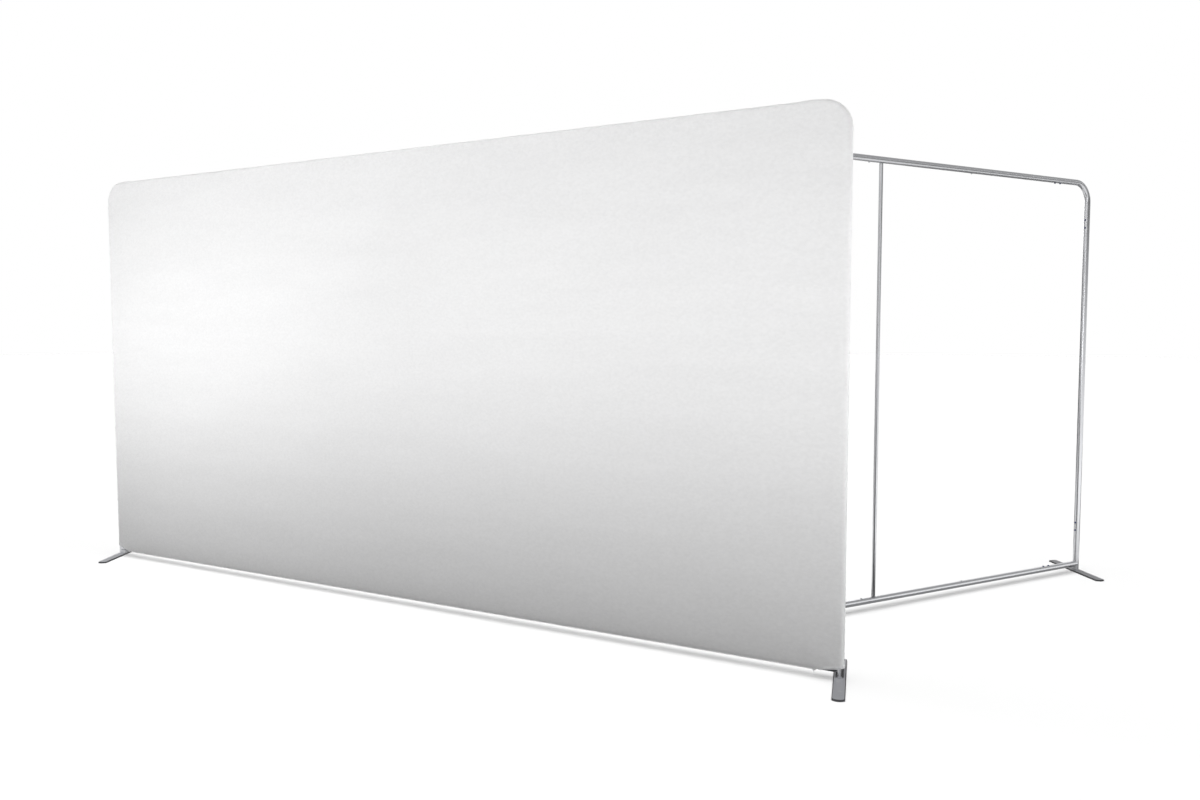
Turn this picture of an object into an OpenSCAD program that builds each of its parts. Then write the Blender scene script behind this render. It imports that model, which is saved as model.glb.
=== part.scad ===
// Tube-frame fabric display wall, shown as a covered wall with a bare frame of the
// same system standing behind its right-hand end.
// Millimetres, +Z up. The origin lies on the floor, at the middle of the set's outline.
// Each frame is drawn from one upright: X runs along the frame from the upright's axis,
// Y is across the frame and Z is the height above the floor.

/* [Covered wall] */
// Width of the covered wall's frame over its tubes
wall_w = 4570; // [3600:10:6000]
// Height of the covered wall's frame above the floor
wall_h = 2284; // [1900:1:2600]
// Turn of the left foot from square to the wall, in degrees
wall_left_foot_turn = 28; // [-30:0.5:45]
// Turn of the right foot from square to the wall, in degrees
wall_right_foot_turn = 15; // [-30:0.5:45]

/* [Bare frame] */
// Width of the bare frame over its tubes
bare_w = 2630; // [2300:10:3200]
// Height of the bare frame above the floor
bare_h = 2237; // [1900:1:2600]
// Angle between the two frames, in degrees
bare_angle = 59.3; // [45:0.1:90]
// Distance of the bare frame's inner upright from the wall's right upright, along the wall
bare_inset = 659; // [550:1:900]
// Distance of the bare frame's inner upright behind the wall
bare_setback = 240; // [220:1:400]
// Turn of the outer foot from square to the bare frame, in degrees
bare_outer_foot_turn = -24; // [-45:0.5:45]
// Length of the bare frame's outer rail tubes
bare_outer_rail_l = 643; // [560:1:700]
// Length of the bare frame's middle rail tubes
bare_middle_rail_l = 720; // [640:1:760]

/* [Tubes] */
// Outer diameter of the frame tubes
tube_d = 32; // [30:1:38]
// Wall thickness of the frame tubes
tube_wall = 1.5; // [1.2:0.1:1.8]
// Height of the bottom rails' axis above the floor
rail_z = 44; // [40:1:60]
// Radius of the corner bends, at the tube's axis
bend_r = 105; // [80:1:130]
// How much a tube slims in its bend, in radius
bend_draw = 0.05; // [0.03:0.01:0.1]
// Reach of a corner piece along the rail, from the upright's axis
rail_arm = 268; // [220:1:300]
// Drop of a top corner piece below the rail's axis
corner_drop = 225; // [200:1:260]
// Rise of a base corner piece above the rail's axis
corner_rise = 219; // [160:1:260]
// Length of the uppermost upright tubes
upright_upper_l = 600; // [450:1:700]
// Length of the middle upright tubes
upright_middle_l = 528; // [400:1:600]
// Open seam between neighbouring tubes
seam_gap = 0.4; // [0.2:0.1:1]

/* [Plug joints] */
// Length of a tube's necked end that plugs into the next tube
neck_l = 85; // [70:1:110]
// Length of a corner spigot on each side of its seam
spigot_half_l = 58; // [45:1:80]
// Radial clearance of a plug in its tube
plug_gap = 0.1; // [0.05:0.01:0.15]

/* [Snap buttons] */
// Diameter of a snap button
button_d = 10; // [8:0.5:11]
// Height of a button above its tube
button_out = 4; // [3:0.5:5]
// Height of the button's domed end
dome_h = 2.5; // [1.5:0.1:3]
// Distance from a seam to the single button of a necked end
single_reach = 50; // [40:1:60]
// Distance between the two buttons of a corner spigot
pair_pitch = 44; // [36:1:56]
// Radial clearance round a button
button_gap = 0.15; // [0.1:0.01:0.25]
// Width of the collar that holds a button in its tube, over the button's own diameter
collar_extra = 4; // [3:0.5:5]
// Thickness of the collar
collar_t = 1.4; // [1:0.1:2]
// Width of the leaf spring under a button
leaf_w = 8; // [6:0.5:9]
// Thickness of the leaf spring
leaf_t = 0.8; // [0.5:0.1:1.2]
// Length of the leaf spring past a button's axis
leaf_tail = 28; // [20:1:32]

/* [Poles] */
// Outer diameter of the slim poles
pole_d = 19; // [16:1:22]
// Wall thickness of the slim poles
pole_wall = 1.2; // [1:0.1:1.5]
// Distance of a pole's axis from the rail seam beside it
pole_off_seam = 30; // [22:1:40]
// Diameter of the pin at a pole's end
pin_d = 10; // [8:0.5:12]
// Depth of a pole's pin inside the rail
pin_l = 9; // [6:1:12]
// Thickness of the collar at a pole's end
pin_collar_t = 3; // [2:0.5:5]
// Length of the plug inside a pole's end
pin_plug_l = 25; // [15:1:40]
// Clearance of the collar above the rail, and of the pin in its hole
pin_gap = 0.2; // [0.1:0.05:0.3]

/* [Feet] */
// Length of a foot
foot_l = 500; // [360:5:520]
// Width of a foot
foot_w = 50; // [44:1:60]
// Thickness of a foot
foot_t = 8; // [6:0.5:10]
// Radius of a foot's curved ends
foot_end_r = 32; // [31:1:60]
// Bevel along a foot's top edge
foot_bevel = 2.5; // [0.5:0.1:2.5]
// Clearance between a foot and the upright that it turns under
foot_gap = 0.3; // [0.2:0.1:0.5]
// Thickness of the plug that closes an upright's lower end
foot_plug_t = 14; // [10:1:20]
// Diameter of a foot's screw
screw_d = 8; // [6:1:10]
// Diameter of the screw's countersunk head
screw_head_d = 16; // [14:0.5:20]
// Depth of the screw's head above the foot's underside
screw_inset = 0.4; // [0.2:0.1:0.8]
// Radial clearance of the foot round its screw
screw_gap = 0.1; // [0.05:0.01:0.15]

/* [Fabric cover] */
// Thickness of the stretched fabric
cover_t = 0.8; // [0.6:0.1:1.2]
// Clearance between the fabric and the tubes
cover_gap = 0.3; // [0.2:0.1:0.5]
// Gap at the seam between the front and the back panels
cover_seam = 0.2; // [0.1:0.1:0.5]
// Length of the slanted hem at each lower corner
hem_l = 110; // [80:5:140]
// Height of the slanted hem at the cover's side
hem_h = 26; // [15:1:40]

/* [Zip] */
// Half of the zip tape's width, as an angle round the rail, in degrees
tape_angle = 32; // [25:1:40]
// Angle left open between the tape and each panel's lower edge, in degrees
tape_open_angle = 1; // [0.5:0.1:2]
// Distance from each slanted hem to the zip's end
zip_end_gap = 5; // [3:1:20]
// Radius of the zip's coil
coil_r = 1.5; // [1.2:0.1:1.8]
// Width of the neck between the coil and the tape
coil_neck_w = 1.2; // [0.8:0.1:1.6]
// Distance of the coil's centre below the tape
coil_drop = 2.2; // [2:0.1:2.6]
// Clearance of the slider round the coil
slider_gap = 0.3; // [0.2:0.05:0.3]
// Clearance of the slider under the tape
slider_head_gap = 0.6; // [0.4:0.1:0.8]
// Length of the slider
slider_l = 11; // [9:0.5:16]
// Wall thickness of the slider
slider_wall = 1.2; // [1:0.1:1.5]
// Distance of the slider's middle from the zip's closed end
slider_from_end = 8; // [6:1:40]
// Diameter of the bar that the pull hangs from
pull_bar_d = 1.6; // [1.2:0.1:2]
// Radial clearance of the pull on its bar
pull_gap = 0.1; // [0.05:0.01:0.15]
// Width of the pull's eye round the bar
pull_eye_wall = 0.9; // [0.8:0.1:1.2]
// Length of the pull below its bar
pull_l = 9; // [7:0.5:10]
// Width of the pull
pull_w = 4; // [3:0.5:5]
// Thickness of the pull's tab
pull_t = 1.2; // [1:0.1:1.6]
// Thickness of the two ears that hold the bar
pull_ear_t = 1.2; // [1:0.1:1.6]

/* [Hidden] */
$fn = 64;

// Tubes and plugs
tube_r = tube_d / 2;
bore_r = tube_r - tube_wall;
plug_r = bore_r - plug_gap;
plug_bore_r = plug_r - tube_wall;
cut_over = 1;
bend_lap = 1;

// Frames
wall_span = wall_w - tube_d;
bare_span = bare_w - tube_d;
wall_top_z = wall_h - tube_r;
bare_top_z = bare_h - tube_r;
foot_top_z = foot_t + foot_gap;
lower_seam_z = rail_z + corner_rise;

// Rail tubes, counted from an upright towards the frame's middle
wall_rail_ls = [for (i = [0:2]) (wall_span / 2 - rail_arm) / 3];
bare_inner_rail_l = bare_span - 2 * rail_arm - bare_outer_rail_l - bare_middle_rail_l;
bare_rail_ls = [bare_outer_rail_l, bare_middle_rail_l, bare_inner_rail_l];
function rail_start(ls, i) = i == 0 ? rail_arm : rail_start(ls, i - 1) + ls[i - 1];
function pole_x(ls) = rail_start(ls, 2) - pole_off_seam;

// Upright tubes, counted from the top: height of each tube's lower end, and its length
function upright_ls(top_z) = [
    upright_upper_l,
    upright_middle_l,
    top_z - corner_drop - lower_seam_z - upright_upper_l - upright_middle_l
];
function upright_start(top_z, i) =
    i == 2 ? lower_seam_z : upright_start(top_z, i + 1) + upright_ls(top_z)[i + 1];

// Buttons: heights are measured from the axis of the tube that the button stands in
button_r = button_d / 2;
button_hole_r = button_r + button_gap;
collar_r = button_r + collar_extra / 2;
collar_top = sqrt(plug_bore_r * plug_bore_r - collar_r * collar_r) - 2 * button_gap;
leaf_top = collar_top - collar_t;
button_top = tube_r + button_out;
dome_r = (button_r * button_r + dome_h * dome_h) / (2 * dome_h);
pair_hole = pair_pitch / 2;

// Poles
pole_r = pole_d / 2;
pole_bore_r = pole_r - pole_wall;
pin_r = pin_d / 2;
pin_hole_r = pin_r + pin_gap;
pin_plug_r = pole_bore_r - plug_gap;

// Feet
screw_r = screw_d / 2;
screw_hole_r = screw_r + screw_gap;
screw_head_r = screw_head_d / 2;
screw_cone_h = screw_head_r - screw_r;
foot_end_depth = foot_end_r - sqrt(foot_end_r * foot_end_r - foot_w * foot_w / 4);

// Cover and zip
cover_in_r = tube_r + cover_gap;
cover_out_r = cover_in_r + cover_t;
cover_half_w = wall_span / 2 + cover_out_r;
cover_bottom_z = rail_z - cover_out_r;
tape_half_angle = tape_angle - tape_open_angle;
zip_half_l = cover_half_w - hem_l - zip_end_gap;
coil_z = cover_bottom_z - coil_drop;
slider_channel_r = coil_r + slider_gap;
slider_half_w = slider_channel_r + slider_wall;
slider_top_z = cover_bottom_z - slider_head_gap;
slider_bottom_z = coil_z - slider_channel_r - slider_wall;
slider_x = zip_half_l - slider_from_end;
pull_bar_r = pull_bar_d / 2;
pull_eye_r = pull_bar_r + pull_gap + pull_eye_wall;
pull_z = slider_bottom_z - pull_eye_r - slider_gap;

// Places of the two frames, measured from the wall's middle, and the middle of the set
bare_at = [wall_span / 2 - bare_inset, bare_setback];
bare_end = bare_at + bare_span * [cos(bare_angle), sin(bare_angle)];

// How far a foot reaches from its screw in a direction off its own length, in degrees
function foot_reach(off) =
    abs(sin(off)) * foot_end_r <= foot_w / 2
        ? (foot_l / 2 - foot_end_r) * abs(cos(off)) + foot_end_r
        : (foot_l / 2 - foot_end_depth) * abs(cos(off)) + foot_w / 2 * abs(sin(off));
bare_foot_dir = bare_angle + bare_outer_foot_turn;
set_left = min(-cover_half_w, -wall_span / 2 - foot_reach(90 - wall_left_foot_turn));
set_right = max(cover_half_w, bare_end[0] + foot_reach(90 - bare_foot_dir));
set_front = -max(foot_reach(wall_left_foot_turn), foot_reach(wall_right_foot_turn));
set_back = bare_end[1] + max(tube_r, foot_reach(bare_foot_dir));
set_middle = [(set_left + set_right) / 2, (set_front + set_back) / 2];

silver = [0.72, 0.74, 0.76];
steel = [0.55, 0.56, 0.58];
navy = [0.08, 0.10, 0.30];
foot_grey = [0.42, 0.42, 0.44];
fabric_white = [0.95, 0.95, 0.95];

// ---- Places ----

module at_wall() {
    translate([-set_middle[0] - wall_span / 2, -set_middle[1], 0]) children();
}

module at_wall_middle() {
    translate([-set_middle[0], -set_middle[1], 0]) children();
}

module at_bare() {
    translate([bare_at[0] - set_middle[0], bare_at[1] - set_middle[1], 0])
        rotate([0, 0, bare_angle]) children();
}

module at_bare_top_rail() {
    at_bare() far_end(bare_span) translate([0, 0, bare_top_z]) facing_down() children();
}

module at_bare_bottom_rail() {
    at_bare() far_end(bare_span) translate([0, 0, rail_z]) children();
}

// The far end of a frame looks back along it
module far_end(span) {
    translate([span, 0, 0]) rotate([0, 0, 180]) children();
}

// A tube drawn along X with its buttons up, turned so that they point down
module facing_down() {
    rotate([180, 0, 0]) children();
}

// The same tube stood upright, with its buttons towards the frame's middle
module facing_in() {
    rotate([0, 0, 180]) rotate([0, -90, 0]) children();
}

// ---- Tubes ----

module rod_x(from, to, r) {
    translate([from, 0, 0]) rotate([0, 90, 0]) cylinder(h = to - from, r = r);
}

// A hole in the upper wall of a tube that lies along X
module wall_hole(x, r) {
    translate([x, 0, 0]) cylinder(h = tube_r + cut_over, r = r);
}

module frame_tube(l, button_holes = [], necked = false, pin_holes = []) {
    from = seam_gap / 2;
    to = l - seam_gap / 2;
    color(silver) difference() {
        union() {
            rod_x(from, to, tube_r);
            if (necked) rod_x(to - tube_wall, l + neck_l, plug_r);
        }
        rod_x(from - cut_over, necked ? to - tube_wall : to + cut_over, bore_r);
        if (necked) rod_x(to - tube_wall - cut_over, l + neck_l + cut_over, plug_bore_r);
        for (x = button_holes) wall_hole(x, button_hole_r);
        for (x = pin_holes) wall_hole(x, pin_hole_r);
    }
}

// Tube number i of a rail, with a hole where the corner's or the last tube's button comes
module rail_tube(ls, i, far_hole, necked) {
    near_hole = i == 0 ? pair_hole : single_reach;
    pins = i == 1 ? [ls[i] - pole_off_seam] : [];
    translate([rail_start(ls, i), 0, 0])
        frame_tube(ls[i], [near_hole, far_hole], necked, pins);
}

module wall_rail_half(necked_end) {
    for (i = [0:2]) {
        last = i == 2 && !necked_end;
        l = wall_rail_ls[i];
        rail_tube(wall_rail_ls, i, last ? l - single_reach : l + single_reach, !last);
    }
}

module wall_rail() {
    wall_rail_half(false);
    far_end(wall_span) wall_rail_half(true);
}

module bare_rail_tube(i) {
    l = bare_rail_ls[i];
    rail_tube(bare_rail_ls, i, i == 2 ? l - pair_hole : l + single_reach, i < 2);
}

// Upright tube number i, from the top: the lower tubes plug into the ones above
module upright_tube(top_z, i) {
    l = upright_ls(top_z)[i];
    holes = i == 0 ? [l - pair_hole] : i == 2 ? [pair_hole] : [];
    translate([0, 0, upright_start(top_z, i)]) facing_in() frame_tube(l, holes, i > 0);
}

// ---- Corners ----

// The straight arms lap over both ends of the slimmer bend
module top_corner_path(r, over) {
    end = seam_gap / 2 - over;
    arm_start = bend_r - bend_lap;
    rod_x(arm_start, rail_arm - end, r);
    translate([bend_r, 0, -bend_r]) rotate([90, 0, 0]) rotate([0, 0, 90])
        rotate_extrude(angle = 90) translate([bend_r, 0]) circle(r - bend_draw);
    translate([0, 0, end - corner_drop]) cylinder(h = corner_drop - arm_start - end, r = r);
}

module top_corner(top_z) {
    color(silver) translate([0, 0, top_z]) difference() {
        top_corner_path(tube_r, 0);
        top_corner_path(bore_r, cut_over);
        facing_down() wall_hole(rail_arm - pair_hole, button_hole_r);
        translate([0, 0, -corner_drop]) facing_in() wall_hole(pair_hole, button_hole_r);
    }
}

module base_corner() {
    seam_z = lower_seam_z - seam_gap / 2;
    color(silver) difference() {
        union() {
            translate([0, 0, foot_top_z]) cylinder(h = seam_z - foot_top_z, r = tube_r);
            translate([0, 0, rail_z]) rod_x(0, rail_arm - seam_gap / 2, tube_r);
        }
        translate([0, 0, foot_top_z + foot_plug_t]) cylinder(h = seam_z, r = bore_r);
        difference() {
            translate([0, 0, rail_z]) rod_x(0, rail_arm + cut_over, bore_r);
            cylinder(h = seam_z, r = tube_r);
        }
        cylinder(h = foot_top_z + foot_plug_t + cut_over, r = screw_r);
        translate([0, 0, rail_z]) wall_hole(rail_arm - pair_hole, button_hole_r);
        translate([0, 0, lower_seam_z]) facing_in() wall_hole(-pair_hole, button_hole_r);
    }
}

module spigot() {
    color(steel) difference() {
        rod_x(-spigot_half_l, spigot_half_l, plug_r);
        rod_x(-spigot_half_l - cut_over, spigot_half_l + cut_over, plug_bore_r);
        for (side = [-1, 1]) wall_hole(side * pair_hole, button_hole_r);
    }
}

// ---- Places of the corner joints, seen from one upright ----

module at_top_rail_joint(top_z) {
    translate([rail_arm, 0, top_z]) facing_down() children();
}

module at_bottom_rail_joint() {
    translate([rail_arm, 0, rail_z]) children();
}

module at_upper_joint(top_z) {
    translate([0, 0, top_z - corner_drop]) facing_in() children();
}

module at_lower_joint() {
    translate([0, 0, lower_seam_z]) facing_in() children();
}

module end_spigots(top_z) {
    at_top_rail_joint(top_z) spigot();
    at_bottom_rail_joint() spigot();
    at_upper_joint(top_z) spigot();
    at_lower_joint() spigot();
}

// ---- Snap buttons ----

module button() {
    translate([0, 0, leaf_top]) cylinder(h = collar_t, r = collar_r);
    intersection() {
        translate([0, 0, leaf_top]) cylinder(h = button_top, r = button_r);
        translate([0, 0, button_top - dome_r]) sphere(dome_r);
    }
    translate([0, 0, leaf_top]) cylinder(h = button_top - dome_h - leaf_top, r = button_r);
}

module leaf(from, to) {
    translate([from, -leaf_w / 2, leaf_top - leaf_t]) cube([to - from, leaf_w, leaf_t]);
}

module pair_clip() {
    color(navy) union() {
        for (side = [-1, 1]) translate([side * pair_hole, 0, 0]) button();
        leaf(-pair_hole - collar_r, pair_hole + collar_r);
    }
}

module single_clip() {
    color(steel) union() {
        button();
        leaf(-collar_r, leaf_tail);
    }
}

// The single button of the joint where rail tube number i starts
module rail_button(ls, i) {
    translate([rail_start(ls, i) + single_reach, 0, 0]) single_clip();
}

module wall_rail_buttons() {
    for (i = [1:2]) {
        rail_button(wall_rail_ls, i);
        far_end(wall_span) rail_button(wall_rail_ls, i);
    }
    far_end(wall_span) translate([wall_span / 2 + single_reach, 0, 0]) single_clip();
}

// ---- Poles ----

module pole(ls, top_z) {
    from = rail_z + tube_r + pin_gap + pin_collar_t;
    to = top_z - tube_r - pin_gap - pin_collar_t;
    color(silver) translate([pole_x(ls), 0, from]) difference() {
        cylinder(h = to - from, r = pole_r);
        translate([0, 0, -cut_over]) cylinder(h = to - from + 2 * cut_over, r = pole_bore_r);
    }
}

// The pin of a pole's lower end, from the axis of the rail that it stands on
module pole_pin() {
    color(steel) translate([0, 0, tube_r + pin_gap]) union() {
        translate([0, 0, -pin_gap - pin_l]) cylinder(h = pin_l + pin_gap + pin_collar_t, r = pin_r);
        cylinder(h = pin_collar_t, r = pole_r);
        cylinder(h = pin_collar_t + pin_plug_l, r = pin_plug_r);
    }
}

module end_pole_pins(ls, top_z) {
    translate([pole_x(ls), 0, rail_z]) pole_pin();
    translate([pole_x(ls), 0, top_z]) facing_down() pole_pin();
}

// ---- Feet ----

module foot_section() {
    half = foot_w / 2;
    polygon([
        [-half, 0], [half, 0], [half, foot_t - foot_bevel],
        [half - foot_bevel, foot_t], [foot_bevel - half, foot_t], [-half, foot_t - foot_bevel]
    ]);
}

// A round, bevelled disc whose rim is the foot's end
module foot_end_disc() {
    rotate_extrude() polygon([
        [0, -cut_over], [foot_end_r, -cut_over], [foot_end_r, foot_t - foot_bevel],
        [foot_end_r - foot_bevel, foot_t], [foot_end_r - foot_bevel, foot_t + cut_over],
        [0, foot_t + cut_over]
    ]);
}

module foot_end_trim() {
    box_h = foot_t + cut_over;
    difference() {
        translate([-foot_w, foot_l / 2 - foot_end_r, -cut_over / 2])
            cube([2 * foot_w, 2 * foot_end_r, box_h]);
        translate([0, foot_l / 2 - foot_end_r, 0]) foot_end_disc();
    }
}

module foot() {
    cone_z = screw_inset + screw_gap;
    color(foot_grey) difference() {
        translate([0, foot_l / 2, 0]) rotate([90, 0, 0]) linear_extrude(foot_l) foot_section();
        for (end = [0, 180]) rotate([0, 0, end]) foot_end_trim();
        translate([0, 0, -cut_over]) cylinder(h = foot_t + 2 * cut_over, r = screw_hole_r);
        translate([0, 0, -cut_over]) cylinder(h = cone_z + cut_over, r = screw_head_r + screw_gap);
        translate([0, 0, cone_z])
            cylinder(h = screw_cone_h, r1 = screw_head_r + screw_gap, r2 = screw_hole_r);
    }
}

module foot_screw() {
    color(steel) union() {
        translate([0, 0, screw_inset]) cylinder(h = screw_cone_h, r1 = screw_head_r, r2 = screw_r);
        translate([0, 0, screw_inset])
            cylinder(h = foot_top_z + foot_plug_t - screw_inset, r = screw_r);
    }
}

// ---- Fabric cover ----

// Part of the fabric's section round a tube, from one angle to another. Zero points away
// from the wall's face, and ninety degrees out past the frame's edge
module wrap_section(from, to) {
    far = 3 * cover_out_r;
    intersection() {
        difference() {
            circle(cover_out_r);
            circle(cover_in_r);
        }
        polygon([
            [0, 0],
            [far * sin(from), -far * cos(from)],
            [far * sin((from + to) / 2), -far * cos((from + to) / 2)],
            [far * sin(to), -far * cos(to)]
        ]);
    }
}

// The wall's face between the tube axes, as an outline in X and Z
module face_outline() {
    half = wall_span / 2;
    translate([-half, rail_z]) square([wall_span, wall_top_z - bend_r - rail_z]);
    translate([-half + bend_r, rail_z]) square([wall_span - 2 * bend_r, wall_top_z - rail_z]);
    for (side = [-1, 1])
        translate([side * (half - bend_r), wall_top_z - bend_r]) circle(bend_r);
}

// What is cut off below the slanted hem of the lower right corner
module hem_cut() {
    rotate([90, 0, 0]) linear_extrude(4 * cover_out_r, center = true) polygon([
        [cover_half_w - hem_l - hem_l, cover_bottom_z - hem_h],
        [cover_half_w + hem_l, cover_bottom_z - hem_h],
        [cover_half_w + hem_l, cover_bottom_z + 2 * hem_h]
    ]);
}

// One panel of the cover, with its face towards -Y
module cover_panel() {
    half = wall_span / 2;
    seam_angle = 90 - asin(cover_seam / 2 / cover_out_r);
    color(fabric_white) difference() {
        union() {
            translate([0, -cover_in_r, 0]) rotate([90, 0, 0])
                linear_extrude(cover_t) face_outline();
            for (side = [0, 1]) mirror([side, 0, 0]) {
                translate([half, 0, rail_z])
                    linear_extrude(wall_top_z - bend_r - rail_z) wrap_section(0, seam_angle);
                translate([half - bend_r, 0, wall_top_z - bend_r]) rotate([90, 0, 0])
                    rotate_extrude(angle = 90) translate([bend_r, 0]) rotate([0, 0, 180])
                        mirror([1, 0]) wrap_section(0, seam_angle);
            }
            translate([half - bend_r, 0, wall_top_z]) rotate([0, -90, 0])
                linear_extrude(wall_span - 2 * bend_r) wrap_section(0, seam_angle);
            translate([-half, 0, rail_z]) rotate([0, 90, 0])
                linear_extrude(wall_span) wrap_section(0, 90 - tape_angle);
        }
        for (side = [0, 1]) mirror([side, 0, 0]) hem_cut();
    }
}

module zip_tape() {
    coil_top = cover_bottom_z + cover_t / 2;
    color([0.9, 0.9, 0.9]) union() {
        translate([-zip_half_l, 0, rail_z]) rotate([0, 90, 0]) linear_extrude(2 * zip_half_l)
            wrap_section(90 - tape_half_angle, 90 + tape_half_angle);
        translate([-zip_half_l, -coil_neck_w / 2, coil_z])
            cube([2 * zip_half_l, coil_neck_w, coil_top - coil_z]);
        translate([0, 0, coil_z]) rod_x(-zip_half_l, zip_half_l, coil_r);
    }
}

module zip_slider() {
    ear_y = pull_w / 2 + slider_gap;
    color([0.85, 0.85, 0.86]) translate([slider_x, 0, 0]) {
        difference() {
            translate([-slider_l / 2, -slider_half_w, slider_bottom_z])
                cube([slider_l, 2 * slider_half_w, slider_top_z - slider_bottom_z]);
            translate([0, 0, coil_z]) rod_x(-slider_l, slider_l, slider_channel_r);
            translate([-slider_l, -coil_neck_w / 2 - slider_gap, coil_z])
                cube([2 * slider_l, coil_neck_w + 2 * slider_gap, 2 * coil_drop]);
        }
        for (side = [-1, 1]) pull_ear(side, ear_y);
        translate([0, ear_y + pull_ear_t / 2, pull_z]) rotate([90, 0, 0])
            cylinder(h = 2 * ear_y + pull_ear_t, r = pull_bar_r);
    }
}

module pull_ear(side, ear_y) {
    y = side > 0 ? ear_y : -ear_y - pull_ear_t;
    ear_r = pull_bar_r + pull_eye_wall;
    ear_h = slider_bottom_z - pull_z + slider_wall / 2;
    translate([-ear_r, y, pull_z]) cube([2 * ear_r, pull_ear_t, ear_h]);
    translate([0, y, pull_z]) rotate([-90, 0, 0]) cylinder(h = pull_ear_t, r = ear_r);
}

module zip_pull() {
    color([0.85, 0.85, 0.86]) translate([slider_x, 0, pull_z]) difference() {
        union() {
            rotate([90, 0, 0]) cylinder(h = pull_w, r = pull_eye_r, center = true);
            translate([-pull_t / 2, -pull_w / 2, pull_w / 2 - pull_l])
                cube([pull_t, pull_w, pull_l - pull_w / 2]);
            translate([0, 0, pull_w / 2 - pull_l]) rotate([0, 90, 0])
                cylinder(h = pull_t, r = pull_w / 2, center = true);
        }
        rotate([90, 0, 0]) cylinder(h = 2 * pull_w, r = pull_bar_r + pull_gap, center = true);
    }
}

// ---- Nodes ----

at_wall_middle() cover_panel();  // cover_front
at_wall_middle() mirror([0, 1, 0]) cover_panel();  // cover_back
at_wall_middle() zip_tape();
at_wall_middle() zip_slider();
at_wall_middle() zip_pull();

at_wall() top_corner(wall_top_z);  // wall_top_corner_left
at_wall() far_end(wall_span) top_corner(wall_top_z);  // wall_top_corner_right
at_wall() base_corner();  // wall_base_corner_left
at_wall() far_end(wall_span) base_corner();  // wall_base_corner_right
at_wall() for (i = [0:2]) upright_tube(wall_top_z, i);  // wall_upright_tubes_left
at_wall() far_end(wall_span) for (i = [0:2]) upright_tube(wall_top_z, i);  // wall_upright_tubes_right
at_wall() translate([0, 0, wall_top_z]) facing_down() wall_rail();  // wall_top_rail_tubes
at_wall() translate([0, 0, rail_z]) wall_rail();  // wall_bottom_rail_tubes
at_wall() {  // wall_poles
    pole(wall_rail_ls, wall_top_z);
    far_end(wall_span) pole(wall_rail_ls, wall_top_z);
}

at_bare() top_corner(bare_top_z);  // bare_top_corner_inner
at_bare() far_end(bare_span) top_corner(bare_top_z);  // bare_top_corner_outer
at_bare() base_corner();  // bare_base_corner_inner
at_bare() far_end(bare_span) base_corner();  // bare_base_corner_outer
at_bare() upright_tube(bare_top_z, 2);  // bare_inner_upright_lower
at_bare() upright_tube(bare_top_z, 1);  // bare_inner_upright_middle
at_bare() upright_tube(bare_top_z, 0);  // bare_inner_upright_upper
at_bare() far_end(bare_span) upright_tube(bare_top_z, 2);  // bare_outer_upright_lower
at_bare() far_end(bare_span) upright_tube(bare_top_z, 1);  // bare_outer_upright_middle
at_bare() far_end(bare_span) upright_tube(bare_top_z, 0);  // bare_outer_upright_upper
at_bare_top_rail() bare_rail_tube(0);  // bare_top_rail_outer
at_bare_top_rail() bare_rail_tube(1);  // bare_top_rail_middle
at_bare_top_rail() bare_rail_tube(2);  // bare_top_rail_inner
at_bare_bottom_rail() bare_rail_tube(0);  // bare_bottom_rail_outer
at_bare_bottom_rail() bare_rail_tube(1);  // bare_bottom_rail_middle
at_bare_bottom_rail() bare_rail_tube(2);  // bare_bottom_rail_inner
at_bare() far_end(bare_span) pole(bare_rail_ls, bare_top_z);  // bare_pole

union() {  // pole_pins
    at_wall() end_pole_pins(wall_rail_ls, wall_top_z);
    at_wall() far_end(wall_span) end_pole_pins(wall_rail_ls, wall_top_z);
    at_bare() far_end(bare_span) end_pole_pins(bare_rail_ls, bare_top_z);
}
union() {  // corner_spigots
    at_wall() end_spigots(wall_top_z);
    at_wall() far_end(wall_span) end_spigots(wall_top_z);
    at_bare() end_spigots(bare_top_z);
    at_bare() far_end(bare_span) end_spigots(bare_top_z);
}
union() {  // foot_screws
    at_wall() foot_screw();
    at_wall() far_end(wall_span) foot_screw();
    at_bare() foot_screw();
    at_bare() far_end(bare_span) foot_screw();
}

at_wall() rotate([0, 0, wall_left_foot_turn]) foot();  // foot_wall_left
at_wall() far_end(wall_span) rotate([0, 0, wall_right_foot_turn]) foot();  // foot_wall_right
at_bare() foot();  // foot_bare_inner
at_bare() far_end(bare_span) rotate([0, 0, bare_outer_foot_turn]) foot();  // foot_bare_outer

at_bare() far_end(bare_span) at_top_rail_joint(bare_top_z) pair_clip();  // bare_clip_top_rail_outer
at_bare() at_top_rail_joint(bare_top_z) pair_clip();  // bare_clip_top_rail_inner
at_bare() far_end(bare_span) at_bottom_rail_joint() pair_clip();  // bare_clip_bottom_rail_outer
at_bare() at_bottom_rail_joint() pair_clip();  // bare_clip_bottom_rail_inner
at_bare() far_end(bare_span) at_upper_joint(bare_top_z) pair_clip();  // bare_clip_upright_top_outer
at_bare() at_upper_joint(bare_top_z) pair_clip();  // bare_clip_upright_top_inner
at_bare() far_end(bare_span) at_lower_joint() pair_clip();  // bare_clip_upright_base_outer
at_bare() at_lower_joint() pair_clip();  // bare_clip_upright_base_inner
at_bare_top_rail() rail_button(bare_rail_ls, 1);  // bare_button_top_outer
at_bare_top_rail() rail_button(bare_rail_ls, 2);  // bare_button_top_inner
at_bare_bottom_rail() rail_button(bare_rail_ls, 1);  // bare_button_bottom_outer
at_bare_bottom_rail() rail_button(bare_rail_ls, 2);  // bare_button_bottom_inner

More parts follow.
